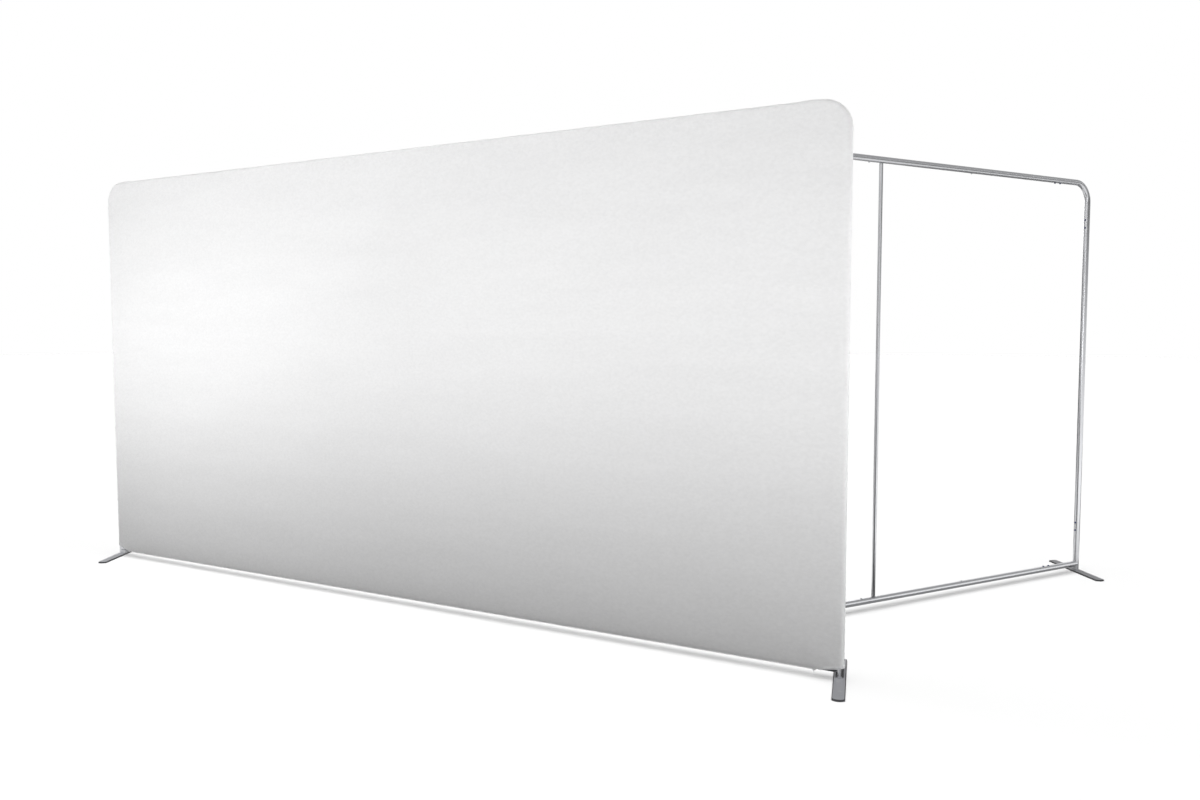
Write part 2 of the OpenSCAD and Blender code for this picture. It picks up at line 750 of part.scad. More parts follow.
at_wall() at_top_rail_joint(wall_top_z) pair_clip();  // wall_clip_top_rail_left
at_wall() far_end(wall_span) at_top_rail_joint(wall_top_z) pair_clip();  // wall_clip_top_rail_right
at_wall() at_bottom_rail_joint() pair_clip();  // wall_clip_bottom_rail_left
at_wall() far_end(wall_span) at_bottom_rail_joint() pair_clip();  // wall_clip_bottom_rail_right
at_wall() at_upper_joint(wall_top_z) pair_clip();  // wall_clip_upright_top_left
at_wall() far_end(wall_span) at_upper_joint(wall_top_z) pair_clip();  // wall_clip_upright_top_right
at_wall() at_lower_joint() pair_clip();  // wall_clip_upright_base_left
at_wall() far_end(wall_span) at_lower_joint() pair_clip();  // wall_clip_upright_base_right
at_wall() translate([0, 0, wall_top_z]) facing_down() wall_rail_buttons();  // wall_buttons_top_rail
at_wall() translate([0, 0, rail_z]) wall_rail_buttons();  // wall_buttons_bottom_rail
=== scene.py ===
"""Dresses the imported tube-frame display wall: cover, zip, tubes, feet and studio.

Lengths are in metres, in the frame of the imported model: +X runs along the covered wall,
its photographed face looks towards -Y, and the floor is at z = 0.
"""

from __future__ import annotations

import logging
import math
from abc import ABC, abstractmethod
from collections.abc import Callable
from dataclasses import dataclass, field, replace
from enum import Enum

import bpy
import numpy as np
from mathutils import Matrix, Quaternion, Vector


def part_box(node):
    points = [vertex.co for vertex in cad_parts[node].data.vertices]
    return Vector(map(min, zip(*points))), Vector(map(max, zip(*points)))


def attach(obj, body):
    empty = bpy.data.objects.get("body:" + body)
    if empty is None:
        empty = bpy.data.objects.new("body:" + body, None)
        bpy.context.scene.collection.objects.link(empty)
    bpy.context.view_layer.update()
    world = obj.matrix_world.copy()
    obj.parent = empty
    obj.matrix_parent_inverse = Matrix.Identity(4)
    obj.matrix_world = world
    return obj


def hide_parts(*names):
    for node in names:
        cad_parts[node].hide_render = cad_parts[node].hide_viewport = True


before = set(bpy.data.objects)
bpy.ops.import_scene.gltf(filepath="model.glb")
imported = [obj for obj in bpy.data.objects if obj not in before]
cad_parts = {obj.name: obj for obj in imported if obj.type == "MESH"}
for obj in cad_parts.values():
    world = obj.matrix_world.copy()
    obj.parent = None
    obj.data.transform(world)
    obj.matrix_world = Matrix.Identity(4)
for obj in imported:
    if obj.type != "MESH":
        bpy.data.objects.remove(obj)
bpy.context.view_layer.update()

LOG = logging.getLogger("display_wall")
logging.basicConfig(level=logging.INFO, format="%(name)s: %(message)s")

MM = 0.001
FULL_TURN = 2 * math.pi
QUARTER = math.pi / 2
CARD_RISE = 2.4
Colour = tuple[float, float, float]
Point = tuple[float, float, float]


class Grain(Enum):
    """Direction in which a drawn tube shows its fine lines.

    A lying tube's value is its turn about Z in degrees. The negative ones only tell apart.
    """

    ALONG_WALL = 0.0
    ALONG_BARE_FRAME = 59.3
    UPRIGHT = -1.0
    NONE = -2.0


class Side(Enum):
    """Side of the covered wall that a panel of the cover lies on."""

    FRONT = -1
    BACK = 1


def deselect_all() -> None:
    """Deselects every object."""
    bpy.ops.object.select_all(action="DESELECT")


def select_only(obj: bpy.types.Object) -> None:
    """Deselects everything and makes one object the active one.

    Args:
        obj: The object that stays selected.
    """
    deselect_all()
    obj.select_set(True)
    bpy.context.view_layer.objects.active = obj


def apply_modifier(obj: bpy.types.Object, kind: str, **settings: object) -> None:
    """Adds a modifier with its settings and applies it.

    Args:
        obj: The mesh object that gets it.
        kind: Blender's name of the modifier type.
        settings: The modifier's own settings.
    """
    select_only(obj)
    modifier = obj.modifiers.new(kind.title(), kind)
    for name, value in settings.items():
        setattr(modifier, name, value)
    bpy.ops.object.modifier_apply(modifier=modifier.name)


def add_object(name: str, data: bpy.types.ID) -> bpy.types.Object:
    """Puts a new object in the scene.

    Args:
        name: Name of the object.
        data: Its mesh, curve, lamp or camera.

    Returns:
        The linked object.
    """
    obj = bpy.data.objects.new(name, data)
    bpy.context.scene.collection.objects.link(obj)
    return obj


def add_primitive(
    name: str, operator: Callable[..., set[str]], **settings: object
) -> bpy.types.Object:
    """Adds one of Blender's primitive meshes with nothing else selected.

    Args:
        name: Name of the object and its mesh.
        operator: Blender's operator that adds it.
        settings: The operator's own settings.

    Returns:
        The new object.
    """
    deselect_all()
    operator(**settings)
    obj = bpy.context.active_object
    obj.name = obj.data.name = name
    return obj


def apply_place(obj: bpy.types.Object) -> None:
    """Puts an object's place, turn and scale into its mesh."""
    select_only(obj)
    bpy.ops.object.transform_apply(location=True, rotation=True, scale=True)


def make_normals_outward(obj: bpy.types.Object) -> None:
    """Merges doubles and turns every face of a closed mesh outwards.

    Args:
        obj: The mesh object.
    """
    select_only(obj)
    bpy.ops.object.mode_set(mode="EDIT")
    bpy.ops.mesh.select_all(action="SELECT")
    bpy.ops.mesh.remove_doubles(threshold=1e-6)
    bpy.ops.mesh.normals_make_consistent(inside=False)
    bpy.ops.object.mode_set(mode="OBJECT")


def new_mesh_object(
    name: str, points: np.ndarray, faces: np.ndarray | list[tuple[int, ...]]
) -> bpy.types.Object:
    """Makes a mesh object from points and faces.

    Args:
        name: Name of the piece.
        points: Places of the vertices, one row each.
        faces: Vertex indices of each face.

    Returns:
        The linked object.
    """
    mesh = bpy.data.meshes.new(name)
    rows = faces.tolist() if isinstance(faces, np.ndarray) else faces
    mesh.from_pydata(points.tolist(), [], rows)
    mesh.update()
    return add_object(name, mesh)


def grid_quads(rows: int, columns: int, order: tuple[int, ...]) -> np.ndarray:
    """Quads of a grid of points.

    Args:
        rows: Rows of points.
        columns: Points in a row.
        order: Corners of each quad in turn: 0 is the point itself, 1 the one in the next
            row, 2 the one in the next row and column, 3 the one in the next column.

    Returns:
        Vertex indices, one row for each quad.
    """
    index = np.arange(rows * columns).reshape(rows, columns)
    corners = (index[:-1, :-1], index[1:, :-1], index[1:, 1:], index[:-1, 1:])
    return np.stack([corners[i].ravel() for i in order], axis=1)


def smooth_step(x: np.ndarray | float, low: float, high: float) -> np.ndarray:
    """Rises smoothly from 0 at low to 1 at high."""
    t = np.clip((np.asarray(x, float) - low) / (high - low), 0.0, 1.0)
    return t * t * (3 - 2 * t)


# ---- Finishes ----


class NodeSketch:
    """Adds shader nodes to one material, with short calls for the usual links."""

    def __init__(self, name: str) -> None:
        """Starts a material whose tree holds only an output and a principled shader."""
        self.material = bpy.data.materials.new(name)
        self.material.use_nodes = True
        self.tree = self.material.node_tree
        self.tree.nodes.clear()
        self.output = self.add("ShaderNodeOutputMaterial")
        self.shader = self.add("ShaderNodeBsdfPrincipled")
        self.link(self.shader, "BSDF", self.output, "Surface")

    @classmethod
    def of_world(cls, world: bpy.types.World) -> NodeSketch:
        """Starts on a world, whose tree holds only an output and a background."""
        sketch = cls.__new__(cls)
        sketch.tree = world.node_tree
        sketch.tree.nodes.clear()
        sketch.output = sketch.add("ShaderNodeOutputWorld")
        sketch.shader = sketch.add("ShaderNodeBackground")
        sketch.link(sketch.shader, "Background", sketch.output, "Surface")
        return sketch

    def add(self, kind: str, **settings: object) -> bpy.types.Node:
        """Adds a node and sets its properties."""
        node = self.tree.nodes.new(kind)
        for name, value in settings.items():
            setattr(node, name, value)
        return node

    def link(
        self,
        source: bpy.types.Node,
        out: str | int,
        target: bpy.types.Node,
        into: str | int,
    ) -> None:
        """Links one node's output to another node's input."""
        self.tree.links.new(source.outputs[out], target.inputs[into])

    def set(self, **values: object) -> None:
        """Sets sockets of the principled shader, with _ for a space in their names."""
        for name, value in values.items():
            socket = self.shader.inputs[name.replace("_", " ")]
            if isinstance(value, tuple) and len(value) == 3:
                socket.default_value = (*value, 1.0)
            else:
                socket.default_value = value

    def split(self, source: bpy.types.Node, out: str) -> bpy.types.Node:
        """Splits a vector output into its X, Y and Z."""
        node = self.add("ShaderNodeSeparateXYZ")
        self.link(source, out, node, "Vector")
        return node

    def object_coords(
        self, scale: tuple[float, float, float] = (1, 1, 1), turn_z: float = 0.0
    ) -> bpy.types.Node:
        """Object coordinates, turned about Z and then scaled.

        Args:
            scale: Scale along each axis after the turn.
            turn_z: Turn about Z in degrees.

        Returns:
            The mapping node that carries them.
        """
        coords = self.add("ShaderNodeTexCoord")
        turn = self.add("ShaderNodeMapping", vector_type="POINT")
        turn.inputs["Rotation"].default_value = (0, 0, math.radians(turn_z))
        stretch = self.add("ShaderNodeMapping", vector_type="POINT")
        stretch.inputs["Scale"].default_value = scale
        self.link(coords, "Object", turn, "Vector")
        self.link(turn, "Vector", stretch, "Vector")
        return stretch

    def noise(
        self, vector: bpy.types.Node, scale: float, detail: float = 2.0
    ) -> bpy.types.Node:
        """Noise over the given coordinates.

        Args:
            vector: Node whose Vector output gives the coordinates.
            scale: Scale of the noise.
            detail: Number of finer layers in it.

        Returns:
            The noise node.
        """
        node = self.add("ShaderNodeTexNoise")
        node.inputs["Scale"].default_value = scale
        node.inputs["Detail"].default_value = detail
        self.link(vector, "Vector", node, "Vector")
        return node

    def stripes(
        self, vector: bpy.types.Node, scale: float, distortion: float = 0.0
    ) -> bpy.types.Node:
        """Slanted soft stripes over the given coordinates.

        Args:
            vector: Node whose Vector output gives the coordinates.
            scale: Scale of the stripes.
            distortion: How far they waver.

        Returns:
            The wave node.
        """
        node = self.add("ShaderNodeTexWave", wave_type="BANDS", bands_direction="DIAGONAL")
        node.inputs["Scale"].default_value = scale
        node.inputs["Distortion"].default_value = distortion
        self.link(vector, "Vector", node, "Vector")
        return node

    def ramp(
        self, source: bpy.types.Node, out: str, stops: list[tuple[float, Colour]]
    ) -> bpy.types.Node:
        """Colour ramp of a value.

        Args:
            source: Node that gives the value.
            out: Name of its output.
            stops: Position and colour of each stop, in rising order.

        Returns:
            The ramp node.
        """
        node = self.add("ShaderNodeValToRGB")
        while len(node.color_ramp.elements) < len(stops):
            node.color_ramp.elements.new(0.5)
        for element, (position, colour) in zip(node.color_ramp.elements, stops):
            element.position = position
            element.color = (*colour, 1.0)
        self.link(source, out, node, "Fac")
        return node

    def math(
        self,
        operation: str,
        *values: bpy.types.Node | tuple[bpy.types.Node, str] | float,
    ) -> bpy.types.Node:
        """Math node of one to three values.

        Args:
            operation: Blender's name of the operation.
            values: Each a number, a node for its first output, or a node and an output.

        Returns:
            The math node.
        """
        node = self.add("ShaderNodeMath", operation=operation)
        for i, value in enumerate(values):
            if isinstance(value, (int, float)):
                node.inputs[i].default_value = value
            else:
                source, out = value if isinstance(value, tuple) else (value, 0)
                self.link(source, out, node, i)
        return node

    def map_range(
        self, source: bpy.types.Node, out: str | int, low: float, high: float
    ) -> bpy.types.Node:
        """Maps a value from 0..1 to low..high.

        Args:
            source: Node that gives the value.
            out: Its output.
            low: Result for a value of 0.
            high: Result for a value of 1.

        Returns:
            The node that maps it.
        """
        node = self.add("ShaderNodeMapRange")
        node.inputs["To Min"].default_value = low
        node.inputs["To Max"].default_value = high
        self.link(source, out, node, "Value")
        return node

    def colour_by(
        self, source: bpy.types.Node, out: str, stops: list[tuple[float, Colour]]
    ) -> None:
        """Colours the shader by a ramp of a value."""
        self.link(self.ramp(source, out, stops), "Color", self.shader, "Base Color")

    def colour_times(self, tone: bpy.types.Node, factor: bpy.types.Node) -> None:
        """Colours the shader by a ramp's colour times a factor.

        Args:
            tone: The ramp.
            factor: Node whose first output multiplies it.
        """
        scaled = self.add("ShaderNodeVectorMath", operation="SCALE")
        self.link(tone, "Color", scaled, 0)
        self.link(factor, 0, scaled, "Scale")
        self.link(scaled, 0, self.shader, "Base Color")

    def roughen(
        self, source: bpy.types.Node, out: str, low: float, high: float
    ) -> None:
        """Maps a value from 0..1 to the shader's roughness."""
        self.link(self.map_range(source, out, low, high), "Result", self.shader, "Roughness")

    def bump(
        self,
        height: bpy.types.Node,
        out: str | int,
        distance: float,
        strength: float = 1.0,
        below: bpy.types.Node | None = None,
    ) -> bpy.types.Node:
        """Bump of a height.

        Args:
            height: Node that gives the height.
            out: Its output.
            distance: Height in metres that a value of 1 stands for.
            strength: Strength of the bump.
            below: Another bump that this one lies on.

        Returns:
            The bump node, linked to the shader's normal.
        """
        node = self.add("ShaderNodeBump")
        node.inputs["Distance"].default_value = distance
        node.inputs["Strength"].default_value = strength
        self.link(height, out, node, "Height")
        if below is not None:
            self.link(below, "Normal", node, "Normal")
        self.link(node, "Normal", self.shader, "Normal")
        return node


class Finish(ABC):
    """A surface finish that makes its material once."""

    made: dict[str, bpy.types.Material] = {}
    name: str

    def material(self) -> bpy.types.Material:
        """Material of this finish, made at its first use."""
        if self.name not in Finish.made:
            Finish.made[self.name] = self.build(NodeSketch(self.name))
        return Finish.made[self.name]

    def dress(self, obj: bpy.types.Object) -> None:
        """Gives every material slot of a piece this finish, and reports the piece.

        Args:
            obj: The piece.
        """
        if not obj.material_slots:
            obj.data.materials.append(self.material())
        for slot in obj.material_slots:
            slot.material = self.material()
        LOG.info("%s: %s", obj.name, self.name)

    @abstractmethod
    def build(self, sketch: NodeSketch) -> bpy.types.Material:
        """Builds the material's nodes."""


@dataclass(frozen=True)
class KnitFinish(Finish):
    """White stretch knit: fine wales and courses that follow the cloth's own UV."""

    name: str = "white_knit"
    colour: Colour = (0.878, 0.878, 0.880)
    # Darker colour painted into the stitches' pits as shade
    painted_pit_shade: Colour = (0.80, 0.80, 0.803)
    wale_pitch: float = 1.1 * MM
    course_pitch: float = 0.8 * MM
    depth: float = 0.10 * MM
    lean: float = 1.3
    cloud: float = 0.035
    slub: float = 0.065

    def build(self, sketch: NodeSketch) -> bpy.types.Material:
        """Builds the knit's colour with painted shade in the stitches' pits, its stitch relief, slubs
        and soft sheen.
        """
        cloth = sketch.split(sketch.add("ShaderNodeUVMap", uv_map="cloth"), "UV")
        along = sketch.math("MULTIPLY", (cloth, "X"), FULL_TURN / self.wale_pitch)
        down = sketch.math("MULTIPLY", (cloth, "Y"), FULL_TURN / self.course_pitch)
        wale = sketch.math("SINE", along)
        # Courses lean to either side of each wale, as the two legs of a stitch do
        leaning = sketch.math("ADD", down, sketch.math("MULTIPLY", wale, self.lean))
        course = sketch.math("SINE", leaning)
        stitch = sketch.math("MULTIPLY_ADD", course, 0.3, 0.5)
        ridge = sketch.math("MULTIPLY_ADD", sketch.math("ABSOLUTE", wale), 0.3, stitch)
        cloud = sketch.noise(sketch.object_coords((0.9, 1.0, 5.0)), 1.6, 3.0)
        fibre = sketch.noise(sketch.object_coords(), 420.0, 2.0)
        # The low points of the stitch relief are painted darker, as shade in the pits
        tone = sketch.ramp(
            ridge, "Value", [(0.15, self.painted_pit_shade), (0.75, self.colour)]
        )
        mottle = sketch.map_range(cloud, "Fac", 1 - self.cloud, 1 + self.cloud)
        slubs = sketch.noise(sketch.object_coords((0.7, 1, 1)), 95.0, 2.0)
        uneven = sketch.map_range(slubs, "Fac", 1 - self.slub, 1 + self.slub)
        speck = sketch.map_range(fibre, "Fac", 0.985, 1.015)
        both = sketch.math("MULTIPLY", sketch.math("MULTIPLY", mottle, uneven), speck)
        sketch.colour_times(tone, both)
        fuzz = sketch.bump(fibre, "Fac", 0.05 * MM, 0.5)
        sketch.bump(ridge, "Value", self.depth, 0.6, below=fuzz)
        sketch.set(
            Roughness=0.92, Sheen_Weight=0.12, Sheen_Roughness=0.5, Specular_IOR_Level=0.25
        )
        return sketch.material


@dataclass(frozen=True)
class HemFinish(Finish):
    """Woven white binding of hems and zip tape, with its ribs across the run."""

    name: str = "white_binding"
    colour: Colour = (0.86, 0.86, 0.865)
    # Darker colour painted into the grooves between the ribs as shade
    painted_groove_shade: Colour = (0.68, 0.68, 0.70)
    rib_pitch: float = 0.9 * MM
    rib_share: float = 0.31

    def build(self, sketch: NodeSketch) -> bpy.types.Material:
        """Builds short slanted ribs over object coordinates, with painted shade in the grooves
        between them.
        """
        coords = sketch.object_coords()
        wave = sketch.stripes(coords, self.rib_share / self.rib_pitch, 0.6)
        fibre = sketch.noise(coords, 900.0, 1.0)
        # The grooves between the ribs are painted darker, as shade
        sketch.colour_by(wave, "Fac", [(0.0, self.painted_groove_shade), (0.45, self.colour)])
        fuzz = sketch.bump(fibre, "Fac", 0.04 * MM, 0.4)
        sketch.bump(wave, "Fac", 0.12 * MM, 0.7, below=fuzz)
        sketch.set(Roughness=0.85, Sheen_Weight=0.1, Specular_IOR_Level=0.3)
        return sketch.material


@dataclass(frozen=True)
class ThreadFinish(Finish):
    """Twisted white sewing thread."""

    name: str = "white_thread"
    colour: Colour = (0.80, 0.80, 0.81)

    def build(self, sketch: NodeSketch) -> bpy.types.Material:
        """Builds a fine slanted twist."""
        wave = sketch.stripes(sketch.object_coords(), 900.0)
        shade = tuple(0.8 * c for c in self.colour)
        sketch.colour_by(wave, "Fac", [(0.0, shade), (0.6, self.colour)])
        sketch.bump(wave, "Fac", 0.05 * MM, 0.6)
        sketch.set(Roughness=0.7, Sheen_Weight=0.15)
        return sketch.material


@dataclass(frozen=True)
class NylonFinish(Finish):
    """Slightly glossy white nylon of the zip's coil."""

    name: str = "zip_nylon"
    colour: Colour = (0.82, 0.82, 0.80)

    def build(self, sketch: NodeSketch) -> bpy.types.Material:
        """Builds clear-toned nylon with a faint flow pattern."""
        cloud = sketch.noise(sketch.object_coords((0.2, 1, 1)), 300.0, 2.0)
        pale = tuple(min(1.0, 1.06 * c) for c in self.colour)
        sketch.colour_by(cloud, "Fac", [(0.3, self.colour), (0.7, pale)])
        sketch.bump(cloud, "Fac", 0.02 * MM, 0.3)
        sketch.set(Roughness=0.38, Specular_IOR_Level=0.5)
        return sketch.material


@dataclass(frozen=True)
class EnamelFinish(Finish):
    """White enamel on the zip's slider and pull, rubbed through a little."""

    name: str = "zip_enamel"
    colour: Colour = (0.78, 0.78, 0.785)
    worn: Colour = (0.55, 0.55, 0.56)

    def build(self, sketch: NodeSketch) -> bpy.types.Material:
        """Builds enamel with small worn spots."""
        spots = sketch.noise(sketch.object_coords(), 700.0, 4.0)
        stops = [(0.0, self.colour), (0.64, self.colour), (0.70, self.worn)]
        sketch.colour_by(spots, "Fac", stops)
        sketch.roughen(spots, "Fac", 0.22, 0.42)
        sketch.bump(spots, "Fac", 0.03 * MM, 0.3)
        sketch.set(Coat_Weight=0.3, Coat_Roughness=0.15)
        return sketch.material


@dataclass(frozen=True)
class TubeFinish(Finish):
    """Satin drawn aluminium, with lines along the tube and light handling marks."""

    name: str = "satin_tube"
    grain: Grain = Grain.NONE
    colour: Colour = (0.60, 0.606, 0.625)
    dull: Colour = (0.53, 0.535, 0.55)
    roughness: float = 0.25
    uneven: float = 0.06
    line_share: float = 0.012

    def build(self, sketch: NodeSketch) -> bpy.types.Material:
        """Builds metal whose lines run in the grain's direction."""
        fine, coarse = 1.0, self.line_share
        stretch = {
            Grain.UPRIGHT: (fine, fine, coarse),
            Grain.NONE: (fine, fine, fine),
        }.get(self.grain, (coarse, fine, fine))
        turn = -self.grain.value if self.grain.value > 0 else 0.0
        lines = sketch.noise(sketch.object_coords(stretch, turn), 900.0, 3.0)
        cloud = sketch.noise(sketch.object_coords(), 9.0, 4.0)
        scuff = sketch.noise(sketch.object_coords(), 160.0, 5.0)
        tone = sketch.ramp(lines, "Fac", [(0.30, self.dull), (0.62, self.colour)])
        sketch.colour_times(tone, sketch.map_range(cloud, "Fac", 0.96, 1.04))
        mixed = sketch.math(
            "ADD",
            sketch.math("MULTIPLY", sketch.math("ADD", lines, scuff), self.uneven),
            self.roughness - self.uneven,
        )
        sketch.link(mixed, 0, sketch.shader, "Roughness")
        marks = sketch.bump(scuff, "Fac", 0.01 * MM, 0.12)
        sketch.bump(lines, "Fac", 0.01 * MM, 0.2, below=marks)
        sketch.set(Metallic=1.0)
        return sketch.material


@dataclass(frozen=True)
class SteelFinish(Finish):
    """Zinc-plated steel with a faint spangle."""

    name: str = "plated_steel"
    colour: Colour = (0.44, 0.45, 0.46)

    def build(self, sketch: NodeSketch) -> bpy.types.Material:
        """Builds plated steel from small cells of slightly different tone."""
        cells = sketch.add("ShaderNodeTexVoronoi")
        cells.inputs["Scale"].default_value = 220.0
        sketch.link(sketch.object_coords(), "Vector", cells, "Vector")
        dark = tuple(0.82 * c for c in self.colour)
        sketch.colour_by(cells, "Distance", [(0.1, dark), (0.7, self.colour)])
        sketch.roughen(cells, "Distance", 0.24, 0.40)
        sketch.bump(cells, "Distance", 0.01 * MM, 0.3)
        sketch.set(Metallic=1.0)
        return sketch.material


@dataclass(frozen=True)
class ButtonFinish(Finish):
    """Dark navy moulded button with a soft gloss."""

    name: str = "navy_button"
    colour: Colour = (0.006, 0.016, 0.130)
    pale: Colour = (0.012, 0.030, 0.190)

    def build(self, sketch: NodeSketch) -> bpy.types.Material:
        """Builds navy with fine rub marks that lighten it."""
        rub = sketch.noise(sketch.object_coords(), 900.0, 4.0)
        sketch.colour_by(rub, "Fac", [(0.45, self.colour), (0.75, self.pale)])
        sketch.roughen(rub, "Fac", 0.18, 0.45)
        sketch.bump(rub, "Fac", 0.01 * MM, 0.4)
        sketch.set(Specular_IOR_Level=0.2)
        return sketch.material


@dataclass(frozen=True)
class CoatFinish(Finish):
    """Powder coat of the feet: grey on top, with painted shade on the sides and a painted highlight
    on the bevels.
    """

    name: str = "grey_powder_coat"
    colour: Colour = (0.385, 0.390, 0.415)
    scuffed: Colour = (0.46, 0.465, 0.48)
    # Near-black painted shade for the feet's sides
    painted_side_shade: Colour = (0.030, 0.030, 0.034)
    # Pale painted highlight for the feet's bevels
    painted_bevel_highlight: Colour = (0.66, 0.66, 0.67)
    level_from: float = 0.93

    def build(self, sketch: NodeSketch) -> bpy.types.Material:
        """Builds a dimpled coat with paler scuffs, and paints shade on the sides and a highlight on
        the bevels by how each face lies.
        """
        peel = sketch.noise(sketch.object_coords(), 650.0, 2.0)
        scuff = sketch.noise(sketch.object_coords((1, 1, 1), 30.0), 38.0, 6.0)
        tone = sketch.ramp(
            scuff, "Fac", [(0.0, self.colour), (0.58, self.colour), (0.74, self.scuffed)]
        )
        facing = sketch.split(sketch.add("ShaderNodeTexCoord"), "Normal")
        # Faces that don't lie level get painted shade on the sides and a painted highlight on the
        # bevels, by their normal
        edge = sketch.ramp(facing, "Z", [(0.0, self.painted_side_shade), (0.74, self.painted_side_shade), (0.80, self.painted_bevel_highlight)])
        on_top = sketch.math("GREATER_THAN", (facing, "Z"), self.level_from)
        mixed = sketch.add("ShaderNodeMix", data_type="RGBA")
        sketch.link(on_top, 0, mixed, "Factor")
        sketch.link(edge, "Color", mixed, 6)
        sketch.link(tone, "Color", mixed, 7)
        sketch.link(mixed, 2, sketch.shader, "Base Color")
        sketch.roughen(scuff, "Fac", 0.36, 0.58)
        sketch.bump(peel, "Fac", 0.06 * MM, 0.5)
        sketch.set(Specular_IOR_Level=0.5)
        return sketch.material


KNIT = KnitFinish()
BINDING = HemFinish()
THREAD = ThreadFinish()
NYLON = NylonFinish()
ENAMEL = EnamelFinish()
STEEL = SteelFinish()
NAVY = ButtonFinish()
COAT = CoatFinish()
TUBE_WALL = TubeFinish(name="satin_tube_wall", grain=Grain.ALONG_WALL)
TUBE_BARE = TubeFinish(name="satin_tube_bare", grain=Grain.ALONG_BARE_FRAME)
TUBE_UPRIGHT = TubeFinish(name="satin_tube_upright", grain=Grain.UPRIGHT)
TUBE_BEND = TubeFinish(name="satin_tube_bend", grain=Grain.NONE)


# ---- Fabric cover ----


@dataclass
class WallPlace:
    """Where the covered wall stands, with the sizes that its cloth follows."""

    roll_r: float = 17.1 * MM
    cloth_t: float = 0.8 * MM
    bend_r: float = 105 * MM
    rail_z: float = 44 * MM
    hem_l: float = 110 * MM
    hem_left: float = 40 * MM
    hem_right: float = 24 * MM
    tape_turn: float = math.radians(58)
    middle_x: float = field(init=False)
    middle_y: float = field(init=False)
    half_w: float = field(init=False)
    half_span: float = field(init=False)
    top_z: float = field(init=False)

    def __post_init__(self) -> None:
        """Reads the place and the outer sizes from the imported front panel."""
        low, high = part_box("cover_front")
        self.middle_x = (low.x + high.x) / 2
        self.middle_y = low.y + self.roll_r
        self.half_w = (high.x - low.x) / 2
        self.half_span = self.half_w - self.roll_r
        self.top_z = high.z - self.roll_r

    @property
    def bottom_z(self) -> float:
        """Height of the cloth's lowest line."""
        return self.rail_z - self.roll_r

    def hem_h(self, right: bool | np.ndarray) -> np.ndarray:
        """How far the slanted hem rises on the right or on the left."""
        return np.where(right, self.hem_right, self.hem_left)

    def hem_z(self, x: np.ndarray, right: np.ndarray) -> np.ndarray:
        """Height of the slanted hem.

        Args:
            x: Distance from the wall's middle, positive on both sides.
            right: Whether each point is on the right.

        Returns:
            Height of the hem above the floor at each point.
        """
        past = x - (self.half_w - self.hem_l)
        return self.bottom_z + self.hem_h(right) * np.clip(past, 0, None) / self.hem_l

    def to_frame(self, points: np.ndarray) -> np.ndarray:
        """Moves points from the wall's middle line to the model's frame."""
        return points + np.array([self.middle_x, self.middle_y, 0.0])


